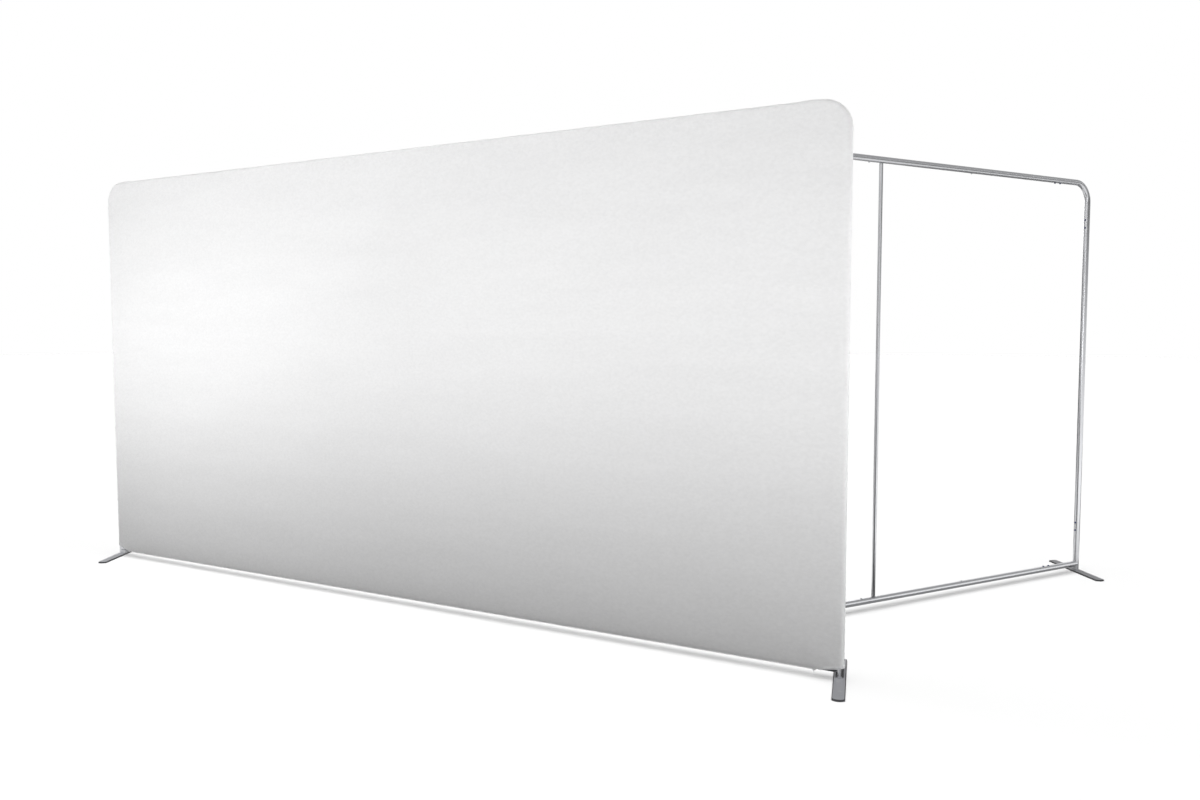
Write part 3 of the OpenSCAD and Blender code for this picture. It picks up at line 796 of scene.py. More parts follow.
@dataclass
class ClothRelief:
    """How far the stretched cloth stands off its plain shape, and where it puckers.

    A fold pair gives how far the folds of a corner reach, and how closely they fan.
    """

    place: WallPlace
    seed: int
    bow: float = 3.6 * MM
    scallop: float = 2.0 * MM
    scallop_pitch: float = 0.40
    scallop_from_top: float = 0.10
    scallop_reach: float = 0.09
    streak: float = 0.36 * MM
    fold: float = 0.7 * MM
    top_fold: tuple[float, float] = (0.34, 9.0)
    base_fold: tuple[float, float] = (0.22, 8.0)
    gather: float = 0.45 * MM
    gather_reach: float = 0.05
    lip: float = 0.42 * MM
    slack: float = 0.9 * MM
    corner_bump: float = 2.6 * MM
    hem_t: float = 0.45 * MM
    hem_w: float = 12.0 * MM
    deepest: float = 5.8 * MM
    rim: tuple[float, float] = (2 * MM, 38 * MM)
    pucker: float = 1.4 * MM
    crease: float = 0.6 * MM
    crease_pitch: float = 27 * MM
    groove: float = 0.25 * MM

    def waves(self, count: int, low: float, high: float) -> np.ndarray:
        """Seeded wavelengths and phases, one row each.

        Args:
            count: How many waves.
            low: Shortest wavelength.
            high: Longest wavelength.

        Returns:
            Array of wave number, phase and weight.
        """
        draw = np.random.default_rng(self.seed + count)
        lengths = draw.uniform(low, high, count)
        return np.stack(
            [
                FULL_TURN / lengths,
                draw.uniform(0, FULL_TURN, count),
                draw.uniform(0.4, 1.0, count) / count,
            ],
            axis=1,
        )

    def along(self, s: np.ndarray, count: int, low: float, high: float) -> np.ndarray:
        """Sum of seeded waves along one direction, about -1 to 1.

        Args:
            s: Distance along that direction.
            count: How many waves.
            low: Shortest wavelength.
            high: Longest wavelength.

        Returns:
            The sum at each point.
        """
        total = np.zeros_like(s)
        for number, phase, weight in self.waves(count, low, high):
            total += weight * np.sin(number * s + phase)
        return total * 1.6

    def face(self, x: np.ndarray, z: np.ndarray) -> np.ndarray:
        """Stand-off of the flat face, positive outwards.

        Args:
            x: Distance from the wall's middle.
            z: Height above the floor.

        Returns:
            Stand-off at each point.
        """
        p = self.place
        from_side = p.half_span - np.abs(x)
        from_top = p.top_z - z
        from_rail = z - p.rail_z
        across = 1 - np.clip(np.abs(x) / p.half_span, 0, 1) ** 6
        height = p.top_z - p.rail_z
        up = 1 - np.clip(np.abs(2 * from_rail / height - 1), 0, 1) ** 4
        off = -self.bow * across * up
        wander = 0.3 * self.along(x, 3, 0.9, 1.7)
        scallops = np.sin(FULL_TURN * x / self.scallop_pitch + 3 * wander)
        from_scallops = (from_top - self.scallop_from_top) / self.scallop_reach
        off += self.scallop * scallops * np.exp(-(from_scallops**2))
        off += self.streak * self.along(z + 0.05 * wander, 5, 0.10, 0.34)
        off += self.streak * self.along(x, 4, 0.6, 1.9) * self.along(z, 3, 0.2, 0.6)
        dx = np.clip(from_side, 1e-4, None)
        corners = ((p.top_z - p.bend_r, self.top_fold), (p.rail_z, self.base_fold))
        for corner_z, (reach, sharp) in corners:
            dz = np.abs(z - corner_z)
            away = np.hypot(dx, dz)
            turn = np.arctan2(dz, dx)
            off += (
                self.fold
                * np.exp(-away / reach)
                * np.sin(sharp * turn + 2.0 * np.sign(x) + 9 * away)
            )
        gathers = self.along(x, 7, 0.03, 0.11)
        off += self.gather * np.exp(-from_rail / self.gather_reach) * gathers
        rim = np.minimum(np.minimum(from_side, from_top), from_rail)
        off *= smooth_step(rim, *self.rim)
        return np.maximum(off, -self.deepest)

    def roll(
        self,
        run: np.ndarray,
        turn: np.ndarray,
        from_seam: np.ndarray,
        x: np.ndarray,
        z: np.ndarray,
    ) -> np.ndarray:
        """Lift of the cloth where it rolls round a tube, never inwards past the seam.

        Args:
            run: Distance along the tube.
            turn: Angle round the tube, zero at the face.
            from_seam: Distance from the seam.
            x: Distance from the wall's middle.
            z: Height above the floor.

        Returns:
            Lift at each point.
        """
        p = self.place
        lips = self.lip * np.exp(-(((from_seam - 1.7 * MM) / (1.2 * MM)) ** 2))
        groove = -self.groove * np.exp(-((from_seam / (0.6 * MM)) ** 2))
        rise = np.sin(turn) ** 2
        slack = self.slack * (0.5 + 0.5 * self.along(run, 6, 0.09, 0.5)) * rise
        low = np.exp(-np.clip(z - p.rail_z, 0, None) / 0.035)
        puckers = self.pucker * low * (0.5 + 0.5 * self.along(z + run, 5, 0.012, 0.03))
        on_top = smooth_step(z, p.top_z - 2 * p.bend_r, p.top_z - p.bend_r)
        start = (np.abs(x) - (p.half_span - 1.45 * p.bend_r)) / (0.33 * p.bend_r)
        bump = self.corner_bump * np.exp(-(start**2)) * on_top * rise
        in_bend = on_top * smooth_step(np.abs(x), p.half_span - p.bend_r, p.half_span)
        ripple = 0.5 + 0.5 * np.sin(FULL_TURN * run / self.crease_pitch)
        creases = self.crease * in_bend * rise * ripple
        return lips + groove + slack + puckers * rise + bump + creases


@dataclass
class CoverPanel:
    """One panel of the pillow cover: a flat face that rolls round the frame's tubes."""

    place: WallPlace
    side: Side
    seed: int
    seam_half: float = 0.1 * MM
    edge_rows: int = 3
    middle_step: float = 24 * MM
    roll_steps: tuple[float, ...] = (
        0, 0.5, 1.0, 1.6, 2.3, 3.2, 4.6, 6.6, 9.2, 12.2, 15.4, 18.6, 21.8, 24.6,
    )
    rim_steps: tuple[float, ...] = (
        0, 3, 6.5, 11, 16, 22, 29, 37, 46, 57, 69, 82, 96, 111, 127, 144, 162, 182, 204,
    )
    hem_steps: tuple[float, ...] = (
        0, 0.8, 1.8, 3.2, 4.8, 6.4, 8.0, 9.6, 11.0, 11.8, 12.3, 12.9, 13.8, 15.4, 17.6,
        20.5, 24, 28.5, 34, 41, 50, 61, 75, 92, 112, 134,
    )
    relief: ClothRelief = field(init=False)
    lower_edge: np.ndarray = field(init=False)
    edge_up: np.ndarray = field(init=False)
    edge_out: np.ndarray = field(init=False)

    def __post_init__(self) -> None:
        """Gives the panel its own relief."""
        self.relief = ClothRelief(self.place, self.seed)

    @property
    def quarter(self) -> float:
        """Cloth from the seam to the face, a quarter of the way round a tube."""
        return QUARTER * self.place.roll_r - self.seam_half

    @property
    def across(self) -> float:
        """Width of the cloth from seam to seam."""
        return 2 * (self.quarter + self.place.half_span)

    @property
    def face_end(self) -> float:
        """Distance down the cloth from the top seam to the bottom rail's axis."""
        return self.quarter + self.place.top_z - self.place.rail_z

    @property
    def down(self) -> float:
        """Length of the cloth from the top seam to its lower edge."""
        return self.face_end + self.place.roll_r * self.place.tape_turn

    def stations(self, length: float, both_ends: bool) -> np.ndarray:
        """Distances along the cloth at which its grid has a line.

        Args:
            length: Whole length of the cloth.
            both_ends: Whether the far end also rolls to a seam.

        Returns:
            Rising distances from 0 to length.
        """
        roll = np.array(self.roll_steps) * MM
        near = np.concatenate([roll, self.quarter + np.array(self.rim_steps) * MM])
        far = near if both_ends else np.array(self.hem_steps) * MM
        far = length - far[::-1]
        count = math.ceil((far[0] - near[-1]) / self.middle_step)
        middle = np.linspace(near[-1], far[0], count + 1)[1:-1]
        return np.concatenate([near, middle, far])

    def hemmed(self, u: np.ndarray, v: np.ndarray) -> tuple[np.ndarray, np.ndarray]:
        """Draws the lower rows up to the slanted hems.

        Args:
            u: Distance across the cloth.
            v: Distance down the cloth before the hems are cut.

        Returns:
            Distance down the cloth, and distance above its lower edge.
        """
        p = self.place
        a = np.minimum(u, self.across - u)
        turn = np.clip((self.quarter - a) / p.roll_r, 0, None)
        x = p.half_span + p.roll_r * np.sin(turn) - np.clip(a - self.quarter, 0, None)
        z = p.hem_z(x, u > self.across / 2)
        on_roll = self.face_end + p.roll_r * np.arcsin(
            np.clip((p.rail_z - z) / p.roll_r, 0, 1)
        )
        on_face = self.quarter + p.top_z - z
        end = np.minimum(np.where(z < p.rail_z, on_roll, on_face), self.down)
        start = self.down - self.hem_steps[-1] * MM
        share = np.clip((v - start) / (self.down - start), 0, 1)
        out = np.where(v > start, start + share * (end - start), v)
        return out, end - out

    def points(self, u: np.ndarray, v: np.ndarray, above: np.ndarray) -> np.ndarray:
        """Places of the cloth's points, measured from the wall's middle line.

        Args:
            u: Distance across the cloth from its left seam.
            v: Distance down the cloth from the top seam.
            above: Distance above the lower edge.

        Returns:
            Points, with the last axis X, Y, Z.
        """
        p, q, b = self.place, self.quarter, self.place.bend_r
        right = np.where(u > self.across / 2, 1.0, -1.0)
        # a and v run in from the side seam and the top seam, d from the nearer of the two
        a = np.minimum(u, self.across - u)
        d = np.minimum(a, v)
        lead = a - v
        turn = np.clip((q - d) / p.roll_r, 0, None)
        outward = p.roll_r * np.sin(turn)
        inward = np.clip(d - q, 0, None)
        r = np.clip(b + outward - inward, 0, None)
        # Each ring of a top corner is a quarter circle with a straight run at both ends
        zone = 2 * b + q - d
        near = (np.abs(lead) < zone) & (inward < b)
        path = r * QUARTER / 2 + b
        s = path * np.abs(lead) / np.maximum(zone, 1e-9)
        on_arc = near & (s < r * QUARTER / 2)
        beta = QUARTER / 2 + np.sign(lead) * s / np.maximum(r, 1e-9)
        along = np.where(near, b + s - r * QUARTER / 2, np.maximum(a, v) - q)
        top = lead > 0
        x_in = np.where(top, along, inward - outward)
        z_in = np.where(top, inward - outward, along)
        x = np.where(on_arc, p.half_span - b + r * np.cos(beta), p.half_span - x_in)
        z = np.where(on_arc, p.top_z - b + r * np.sin(beta), p.top_z - z_in)
        nx = np.where(on_arc, np.cos(beta), np.where(top, 0.0, 1.0))
        nz = np.where(on_arc, np.sin(beta), np.where(top, 1.0, 0.0))
        y = p.roll_r * np.cos(turn)
        # Below the rail's axis the cloth wraps under the tube instead
        under = np.clip(v - self.face_end, 0, None) / p.roll_r
        low = (v > self.face_end) & (a >= q)
        z = np.where(low, p.rail_z - p.roll_r * np.sin(under), z)
        y = np.where(low, p.roll_r * np.cos(under), y)
        # The relief lifts each point straight out of the plain shape
        run = np.where(on_arc, b * (QUARTER - beta) + p.half_span, np.where(top, x, z))
        lift = np.where(
            (turn > 0) & ~low, self.relief.roll(run * right, turn, d, x * right, z), 0.0
        )
        lift += np.where(turn > 0, 0.0, self.relief.face(x * right, z)) * ~low
        hem_w, soft = self.relief.hem_w, 0.4 * MM
        hem = self.relief.hem_t * (1 - smooth_step(above, hem_w - soft, hem_w + soft))
        lift += hem * smooth_step(above, -0.6 * MM, 0.9 * MM)
        out_x = np.where(low, 0.0, nx * np.sin(turn))
        out_z = np.where(low, -np.sin(under), nz * np.sin(turn))
        out_y = np.where(low, np.cos(under), np.cos(turn))
        return np.stack(
            [
                right * (x + lift * out_x),
                self.side.value * (y + lift * out_y),
                z + lift * out_z,
            ],
            axis=-1,
        )

    def build(self) -> bpy.types.Object:
        """Builds the panel with its thickness and its cloth UV map.

        Returns:
            The finished panel.
        """
        us = self.stations(self.across, True)
        vs = self.stations(self.down, False)
        u, v = np.meshgrid(us, vs)
        v, above = self.hemmed(u, v)
        grid = self.points(u, v, above)
        order = (0, 1, 2, 3) if self.side is Side.FRONT else (3, 2, 1, 0)
        faces = grid_quads(*u.shape, order)
        name = f"cover_{self.side.name.lower()}_panel"
        obj = new_mesh_object(name, self.place.to_frame(grid.reshape(-1, 3)), faces)
        uv = obj.data.uv_layers.new(name="cloth")
        flat = np.stack([u.ravel(), self.down - v.ravel()], axis=1)
        uv.data.foreach_set("uv", flat[faces.ravel()].ravel())
        obj.data.shade_smooth()
        apply_modifier(obj, "SOLIDIFY", thickness=self.place.cloth_t, offset=-1.0)
        self.lower_edge = grid[-1]
        up = grid[-1 - self.edge_rows] - grid[-1]
        self.edge_up = up / np.linalg.norm(up, axis=1)[:, None]
        run = np.gradient(grid[-1], axis=0)
        out = np.cross(run, self.edge_up) * -self.side.value
        self.edge_out = out / np.linalg.norm(out, axis=1)[:, None]
        KNIT.dress(obj)
        LOG.info("%s: %d faces", name, len(obj.data.polygons))
        return obj


def loft(name: str, rings: np.ndarray, closed_ends: bool = True) -> bpy.types.Object:
    """Joins rings of points into a closed skin.

    Args:
        name: Name of the piece.
        rings: Array of rings, points and coordinates.
        closed_ends: Whether the first and the last ring are filled.

    Returns:
        The mesh object, with its faces turned outwards.
    """
    count, size, _ = rings.shape
    index = np.arange(count * size).reshape(count, size)
    ahead = np.roll(index, -1, axis=1)
    quads = np.stack(
        [index[:-1].ravel(), ahead[:-1].ravel(), ahead[1:].ravel(), index[1:].ravel()],
        axis=1,
    )
    faces = [tuple(f) for f in quads.tolist()]
    if closed_ends:
        faces += [tuple(index[0][::-1].tolist()), tuple(index[-1].tolist())]
    obj = new_mesh_object(name, rings.reshape(-1, 3), faces)
    make_normals_outward(obj)
    obj.data.shade_smooth()
    return obj


@dataclass
class SlantedHem:
    """Binding along one slanted lower edge of a panel."""

    panel: CoverPanel
    right: bool
    width: float = 8.5 * MM
    thickness: float = 0.95 * MM
    overlap: float = 2 * MM
    tail: float = 0.0
    tail_droop: float = 1.3

    def build(self) -> bpy.types.Object:
        """Builds the binding round the cut edge of the cloth.

        Returns:
            The finished binding.
        """
        p = self.panel.place
        x = self.panel.lower_edge[:, 0]
        sign = 1 if self.right else -1
        kept = sign * x > p.half_w - p.hem_l - self.overlap
        edge = self.panel.lower_edge[kept]
        up = self.panel.edge_up[kept]
        out = self.panel.edge_out[kept]
        if self.tail:
            edge, up, out = self.with_tail(edge, up, out)
        w, t, c = self.width, self.thickness, p.cloth_t
        # Folded section as distances up and out of the cloth: over its face, round its edge
        section = np.array(
            [
                (w, 0.0), (w - 0.3 * MM, 0.8 * t), (w - 1.0 * MM, t), (0.55 * w, 1.08 * t),
                (1.0 * MM, 1.15 * t), (0.0, 0.95 * t), (-0.5 * MM, 0.4 * t),
                (-0.6 * MM, -0.5 * c), (-0.3 * MM, -c), (0.3 * MM, -c), (0.4 * MM, -0.1 * MM),
            ]
        )
        lift = self.panel.relief.hem_t
        rings = (
            edge[:, None, :]
            + section[None, :, :1] * up[:, None, :]
            + (section[None, :, 1:] + lift) * out[:, None, :]
        )
        where = "right" if self.right else "left"
        name = f"cover_hem_{self.panel.side.name.lower()}_{where}"
        obj = loft(name, p.to_frame(rings))
        BINDING.dress(obj)
        return obj

    def with_tail(
        self, edge: np.ndarray, up: np.ndarray, out: np.ndarray
    ) -> tuple[np.ndarray, np.ndarray, np.ndarray]:
        """Runs the binding on past the lower line, as a short loose tail.

        Args:
            edge: Points along the lower edge of the cloth.
            up: Direction up the cloth at each of them.
            out: Direction out of the cloth at each of them.

        Returns:
            The same three, with the tail's points.
        """
        p = self.panel.place
        steps = np.linspace(0.15, 1.0, 6)[:, None] * self.tail
        slope = float(p.hem_h(self.right)) / p.hem_l
        inner = 0 if self.right else -1
        sign = -1.0 if self.right else 1.0
        way = np.array([sign, 0.0, -self.tail_droop * slope])
        way /= np.linalg.norm(way)
        extra = edge[inner] + steps * way
        ups = np.repeat(up[inner][None], len(extra), axis=0)
        outs = np.repeat(out[inner][None], len(extra), axis=0)
        pairs = ((edge, extra), (up, ups), (out, outs))
        if self.right:
            pairs = ((extra[::-1], edge), (ups, up), (outs, out))
        return tuple(np.concatenate(pair) for pair in pairs)


@dataclass
class SeamThread:
    """Overlocked thread that closes the groove between the two panels."""

    place: WallPlace
    radius: float = 0.5 * MM
    sink: float = 0.35 * MM
    step: float = 12 * MM

    def build(self) -> bpy.types.Object:
        """Runs the thread up one side, over the top and down the other side.

        Returns:
            The finished thread.
        """
        p = self.place
        r = p.roll_r - self.sink
        side_z = np.arange(p.bottom_z + p.hem_right, p.top_z - p.bend_r, self.step)
        turns = np.linspace(0, QUARTER, 17)
        top_x = np.arange(0, p.half_span - p.bend_r, self.step)
        bend = p.bend_r + r
        half = np.concatenate(
            [
                np.stack([np.full_like(side_z, p.half_span + r), side_z], axis=1),
                np.stack(
                    [
                        p.half_span - p.bend_r + bend * np.cos(turns),
                        p.top_z - p.bend_r + bend * np.sin(turns),
                    ],
                    axis=1,
                ),
                np.stack([top_x[::-1], np.full_like(top_x, p.top_z + r)], axis=1),
            ]
        )
        mirrored = half[::-1][1:] * np.array([-1, 1])
        mirrored = mirrored[mirrored[:, 1] >= p.bottom_z + p.hem_left]
        line = np.concatenate([half, mirrored])
        points = np.stack([line[:, 0], np.zeros(len(line)), line[:, 1]], axis=1)
        curve = bpy.data.curves.new("cover_seam_thread", "CURVE")
        curve.dimensions = "3D"
        curve.bevel_depth = self.radius
        curve.bevel_resolution = 1
        curve.use_fill_caps = True
        spline = curve.splines.new("POLY")
        spline.points.add(len(points) - 1)
        for knot, point in zip(spline.points, p.to_frame(points)):
            knot.co = (*point, 1.0)
        obj = add_object("cover_seam_thread", curve)
        select_only(obj)
        bpy.ops.object.convert(target="MESH")
        make_normals_outward(obj)
        obj.data.shade_smooth()
        THREAD.dress(obj)
        return obj


@dataclass
class BottomZip:
    """Zip under the bottom rail: two woven tapes, a nylon coil and its end stops."""

    place: WallPlace
    coil_drop: float = 2.2 * MM
    coil_r: float = 1.5 * MM
    wire_r: float = 0.36 * MM
    pitch: float = 2.0 * MM
    tape_t: float = 0.5 * MM
    tape_neck: float = 2 * MM
    tape_arc: float = math.radians(30)
    tape_lap: float = 0.012
    tape_end: float = math.radians(87.2)
    tape_wave: float = 0.05 * MM
    wave_pitch: float = 0.19
    end_gap: float = 5 * MM
    stop_l: float = 3.4 * MM
    stop_past: float = 1.2 * MM
    stop_lift: float = 0.2 * MM
    stop_bevel: float = 0.9 * MM

    @property
    def half_l(self) -> float:
        """Half of the zip's length."""
        return self.place.half_w - self.place.hem_l - self.end_gap

    @property
    def tape_flat_w(self) -> float:
        """Width of a tape laid flat."""
        return self.place.roll_r * self.tape_arc + self.tape_neck

    @property
    def coil_z(self) -> float:
        """Height of the coil's axis."""
        return self.place.bottom_z - self.coil_drop

    def tape(self, side: Side) -> bpy.types.Object:
        """Builds one tape, from the panel's hem to the coil.

        Args:
            side: The panel that it is sewn to.

        Returns:
            The finished tape.
        """
        p = self.place
        turns = np.linspace(p.tape_turn + self.tape_lap, self.tape_end, 9)
        y = p.roll_r * np.cos(turns)
        z = p.rail_z - p.roll_r * np.sin(turns)
        neck_y = np.array([0.62, 0.58, 0.56]) * MM
        neck_z = p.bottom_z - np.array([0.45, 1.0, 1.6]) * MM
        across = np.concatenate([y, neck_y])
        down = np.concatenate([z, neck_z])
        xs = np.linspace(-self.half_l, self.half_l, 160)
        waves = self.tape_wave * np.sin(xs * FULL_TURN / self.wave_pitch)
        grid = np.zeros((len(xs), len(across), 3))
        grid[:, :, 0] = xs[:, None]
        grid[:, :, 1] = side.value * across[None, :]
        grid[:, :, 2] = down[None, :] + waves[:, None] * (down[None, :] > p.bottom_z)
        order = (1, 2, 3, 0) if side is Side.FRONT else (0, 3, 2, 1)
        faces = grid_quads(*grid.shape[:2], order)
        name = f"zip_tape_{side.name.lower()}"
        obj = new_mesh_object(name, p.to_frame(grid.reshape(-1, 3)), faces)
        obj.data.shade_smooth()
        apply_modifier(obj, "SOLIDIFY", thickness=self.tape_t, offset=-1.0)
        BINDING.dress(obj)
        return obj

    def coil(self) -> bpy.types.Object:
        """Builds the spiral coil by screwing one section of the wire along the zip.

        Returns:
            The finished coil.
        """
        obj = add_primitive(
            "zip_coil",
            bpy.ops.mesh.primitive_circle_add,
            vertices=4,
            radius=self.wire_r,
            location=(self.coil_r - self.wire_r, 0, 0),
            rotation=(QUARTER, 0, 0),
        )
        apply_place(obj)
        turns = int(2 * (self.half_l - self.stop_l) / self.pitch)
        apply_modifier(
            obj, "SCREW", screw_offset=self.pitch, iterations=turns, steps=7,
            render_steps=7, axis="Z", use_merge_vertices=False,
        )
        length = turns * self.pitch
        obj.rotation_euler = (0, QUARTER, 0)
        obj.location = (
            self.place.middle_x - length / 2, self.place.middle_y, self.coil_z
        )
        apply_place(obj)
        select_only(obj)
        bpy.ops.object.mode_set(mode="EDIT")
        bpy.ops.mesh.select_all(action="DESELECT")
        bpy.ops.mesh.select_non_manifold()
        bpy.ops.mesh.fill()
        bpy.ops.mesh.select_all(action="SELECT")
        bpy.ops.mesh.normals_make_consistent(inside=False)
        bpy.ops.object.mode_set(mode="OBJECT")
        obj.data.shade_smooth()
        NYLON.dress(obj)
        return obj

    def stop(self, right: bool) -> bpy.types.Object:
        """Builds the clamp that ends the coil on one side.

        Args:
            right: Whether it is the right-hand one.

        Returns:
            The finished stop.
        """
        sign = 1 if right else -1
        coil_d = 2 * self.coil_r
        obj = add_primitive(
            f"zip_stop_{'right' if right else 'left'}",
            bpy.ops.mesh.primitive_cube_add,
            size=1,
            location=(
                self.place.middle_x + sign * (self.half_l - self.stop_l / 2 + self.stop_past),
                self.place.middle_y,
                self.coil_z + self.stop_lift,
            ),
            scale=(self.stop_l, coil_d + 0.9 * MM, coil_d + 0.6 * MM),
        )
        apply_place(obj)
        apply_modifier(
            obj, "BEVEL", width=self.stop_bevel, segments=3, limit_method="ANGLE"
        )
        obj.data.shade_smooth()
        ENAMEL.dress(obj)
        return obj

    def build(self) -> list[bpy.types.Object]:
        """Builds the zip and finishes its slider and pull.

        Returns:
            The zip's new pieces, tapes first.
        """
        pieces = [self.tape(Side.FRONT), self.tape(Side.BACK), self.coil()]
        pieces += [self.stop(True), self.stop(False)]
        for name in ("zip_slider", "zip_pull"):
            ENAMEL.dress(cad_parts[name])
        return pieces


@dataclass
class FabricCover:
    """The zipped pillow cover of the covered wall."""

    place: WallPlace
    body: str = "display_frame"
    cut_share: float = 0.97
    tail_l: float = 24 * MM
    rests: tuple[str, ...] = (
        "wall_top_rail_tubes",
        "wall_bottom_rail_tubes",
        "wall_upright_tubes_left",
        "wall_upright_tubes_right",
        "wall_top_corner_left",
        "wall_top_corner_right",
    )

    def build_panel(self, panel: CoverPanel, node: str) -> list[bpy.types.Object]:
        """Builds one panel with its hems, and the seam thread with the front one.

        Args:
            panel: The panel.
            node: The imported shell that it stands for.

        Returns:
            The panel, its hems and its thread.
        """
        sheet = panel.build()
        is_front = panel.side is Side.FRONT
        tails = (self.tail_l if is_front else 0.0, 0.0)
        trims = [
            SlantedHem(panel, right, tail=tail).build()
            for right, tail in zip((False, True), tails)
        ]
        if is_front:
            trims.append(SeamThread(self.place).build())
        for piece in (sheet, *trims):
            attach(piece, self.body)
        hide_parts(node)
        return [sheet, *trims]

    def build_zip(self) -> None:
        """Builds the zip and puts it on the frame."""
        bottom_zip = BottomZip(self.place)
        pieces = bottom_zip.build()
        front, back, *rest = pieces
        for piece in pieces:
            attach(piece, self.body)
        for tape, others in ((front, rest), (back, [])):
            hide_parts("zip_tape")

    def build(self) -> list[bpy.types.Object]:
        """Builds the panels, hems, seam and zip.

        Returns:
            The panels with their hems and seam.
        """
        fabric = self.build_panel(CoverPanel(self.place, Side.FRONT, seed=11), "cover_front")
        fabric += self.build_panel(CoverPanel(self.place, Side.BACK, seed=29), "cover_back")
        self.build_zip()
        return fabric


# ---- Frames ----


@dataclass
class TubeFrame:
    """A plug-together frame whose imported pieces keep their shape."""

    start: str
    rail_finish: TubeFinish

    def finish_for(self, node: str) -> Finish:
        """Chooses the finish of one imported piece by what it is.

        Args:
            node: Name of the piece.

        Returns:
            Its finish.
        """
        if "_clip_" in node:
            return NAVY
        if "_button" in node:
            return STEEL
        if "_corner_" in node:
            return TUBE_BEND
        if "upright" in node or "pole" in node:
            return TUBE_UPRIGHT
        return self.rail_finish

    def dress(self) -> None:
        """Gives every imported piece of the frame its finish."""
        for name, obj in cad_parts.items():
            if name.startswith(self.start):
                self.finish_for(name).dress(obj)


@dataclass
class SmallSteel:
    """Pins, spigots and screws of both frames."""

    nodes: tuple[str, ...] = ("pole_pins", "corner_spigots", "foot_screws")

    def dress(self) -> None:
        """Plates them all."""
        for name in self.nodes:
            STEEL.dress(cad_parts[name])


@dataclass
class Feet:
    """The four flat feet."""

    start: str = "foot_"

    def dress(self) -> None:
        """Coats every foot."""
        for name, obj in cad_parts.items():
            if name.startswith(self.start) and name != "foot_screws":
                COAT.dress(obj)


# ---- Studio ----


def linked(name: str, members: list[bpy.types.Object], state: str) -> bpy.types.Collection:
    """Makes a collection that includes or excludes its members for a lamp.

    Args:
        name: Name of the collection.
        members: The objects in it.
        state: INCLUDE or EXCLUDE.

    Returns:
        The collection.
    """
    collection = bpy.data.collections.new(name)
    for member in members:
        collection.objects.link(member)
    for entry in collection.collection_objects:
        entry.light_linking.link_state = state
    return collection


@dataclass
class Lamp:
    """A soft lamp of the studio, aimed at a point."""

    name: str
    place: Point
    aim: Point
    size: tuple[float, float]
    power: float
    for_cover: bool = False

    def build(self, receivers: bpy.types.Collection) -> None:
        """Adds the lamp, unseen by the camera.

        Args:
            receivers: What the lamp lights or leaves dark.
        """
        data = bpy.data.lights.new(self.name, "AREA")
        data.shape = "RECTANGLE"
        data.size, data.size_y = self.size
        data.energy = self.power
        lamp = add_object(self.name, data)
        lamp.location = self.place
        way = Vector(self.aim) - Vector(self.place)
        lamp.rotation_euler = way.to_track_quat("-Z", "Y").to_euler()
        lamp.visible_camera = False
        lamp.light_linking.receiver_collection = receivers


@dataclass
class DarkCard:
    """A card out of the camera's sight that gives the tubes their tones in reflection."""

    name: str
    place: Point
    aim: Point
    size: tuple[float, float]
    low_tone: float
    high_tone: float
    spin: float = 0.0

    def build(self) -> None:
        """Stands the card up, seen in reflections only."""
        way = Vector(self.aim) - Vector(self.place)
        turned = Quaternion((0, 0, 1), math.radians(self.spin))
        turn = (way.to_track_quat("Z", "Y") @ turned).to_euler()
        card = add_primitive(
            self.name,
            bpy.ops.mesh.primitive_plane_add,
            size=1,
            location=self.place,
            rotation=turn,
        )
        card.scale = (*self.size, 1)
        apply_place(card)
        card.data.materials.append(self.material())
        card.visible_camera = card.visible_diffuse = card.visible_shadow = False

    def material(self) -> bpy.types.Material:
        """Self-lit grey that changes from the floor up to a set height.

        Returns:
            The card's own material.
        """
        sketch = NodeSketch(self.name)
        place = sketch.split(sketch.add("ShaderNodeTexCoord"), "Object")
        rise = sketch.math("MULTIPLY", (place, "Z"), 1 / CARD_RISE)
        tone = sketch.map_range(rise, 0, self.low_tone, self.high_tone)
        sketch.link(tone, "Result", sketch.shader, "Emission Strength")
        sketch.set(Base_Color=(0.0, 0.0, 0.0), Emission_Color=(1.0, 1.0, 1.0))
        sketch.set(Roughness=1.0, Specular_IOR_Level=0.0)
        return sketch.material


@dataclass(frozen=True)
class FloorFinish(Finish):
    """White floor that keeps the set's shadow and throws soft light up at the cloth."""

    name: str = "studio_floor"
    tone: float = 0.50
    bounce: float = 0.26
    under: float = 1.9
    line_y: float = 0.0
    strip: float = 0.017
    near: float = 0.04
    far: float = 0.22

    def build(self, sketch: NodeSketch) -> bpy.types.Material:
        """Builds one look for the eye and one for the light that the floor throws."""
        seen = seen_directly(sketch)
        place = sketch.split(sketch.add("ShaderNodeTexCoord"), "Object")
        distance = sketch.math("ABSOLUTE", sketch.math("SUBTRACT", (place, "Y"), self.line_y))
        away = sketch.add("ShaderNodeMapRange", interpolation_type="SMOOTHSTEP")
        away.inputs["From Min"].default_value = self.near
        away.inputs["From Max"].default_value = self.far
        sketch.link(distance, 0, away, "Value")
        below = sketch.math("LESS_THAN", distance, self.strip)
        thrown = sketch.math(
            "ADD",
            sketch.math("MULTIPLY", away, self.bounce),
            sketch.math("MULTIPLY", below, self.under),
        )
        strength = sketch.math("MULTIPLY", sketch.math("SUBTRACT", 1.0, seen), thrown)
        sketch.link(strength, 0, sketch.shader, "Emission Strength")
        base = sketch.add("ShaderNodeVectorMath", operation="SCALE")
        base.inputs[0].default_value = (self.tone,) * 3
        sketch.link(seen, 0, base, "Scale")
        sketch.link(base, 0, sketch.shader, "Base Color")
        sketch.set(Emission_Color=(1.0, 1.0, 1.0), Roughness=1.0, Specular_IOR_Level=0.0)
        return sketch.material


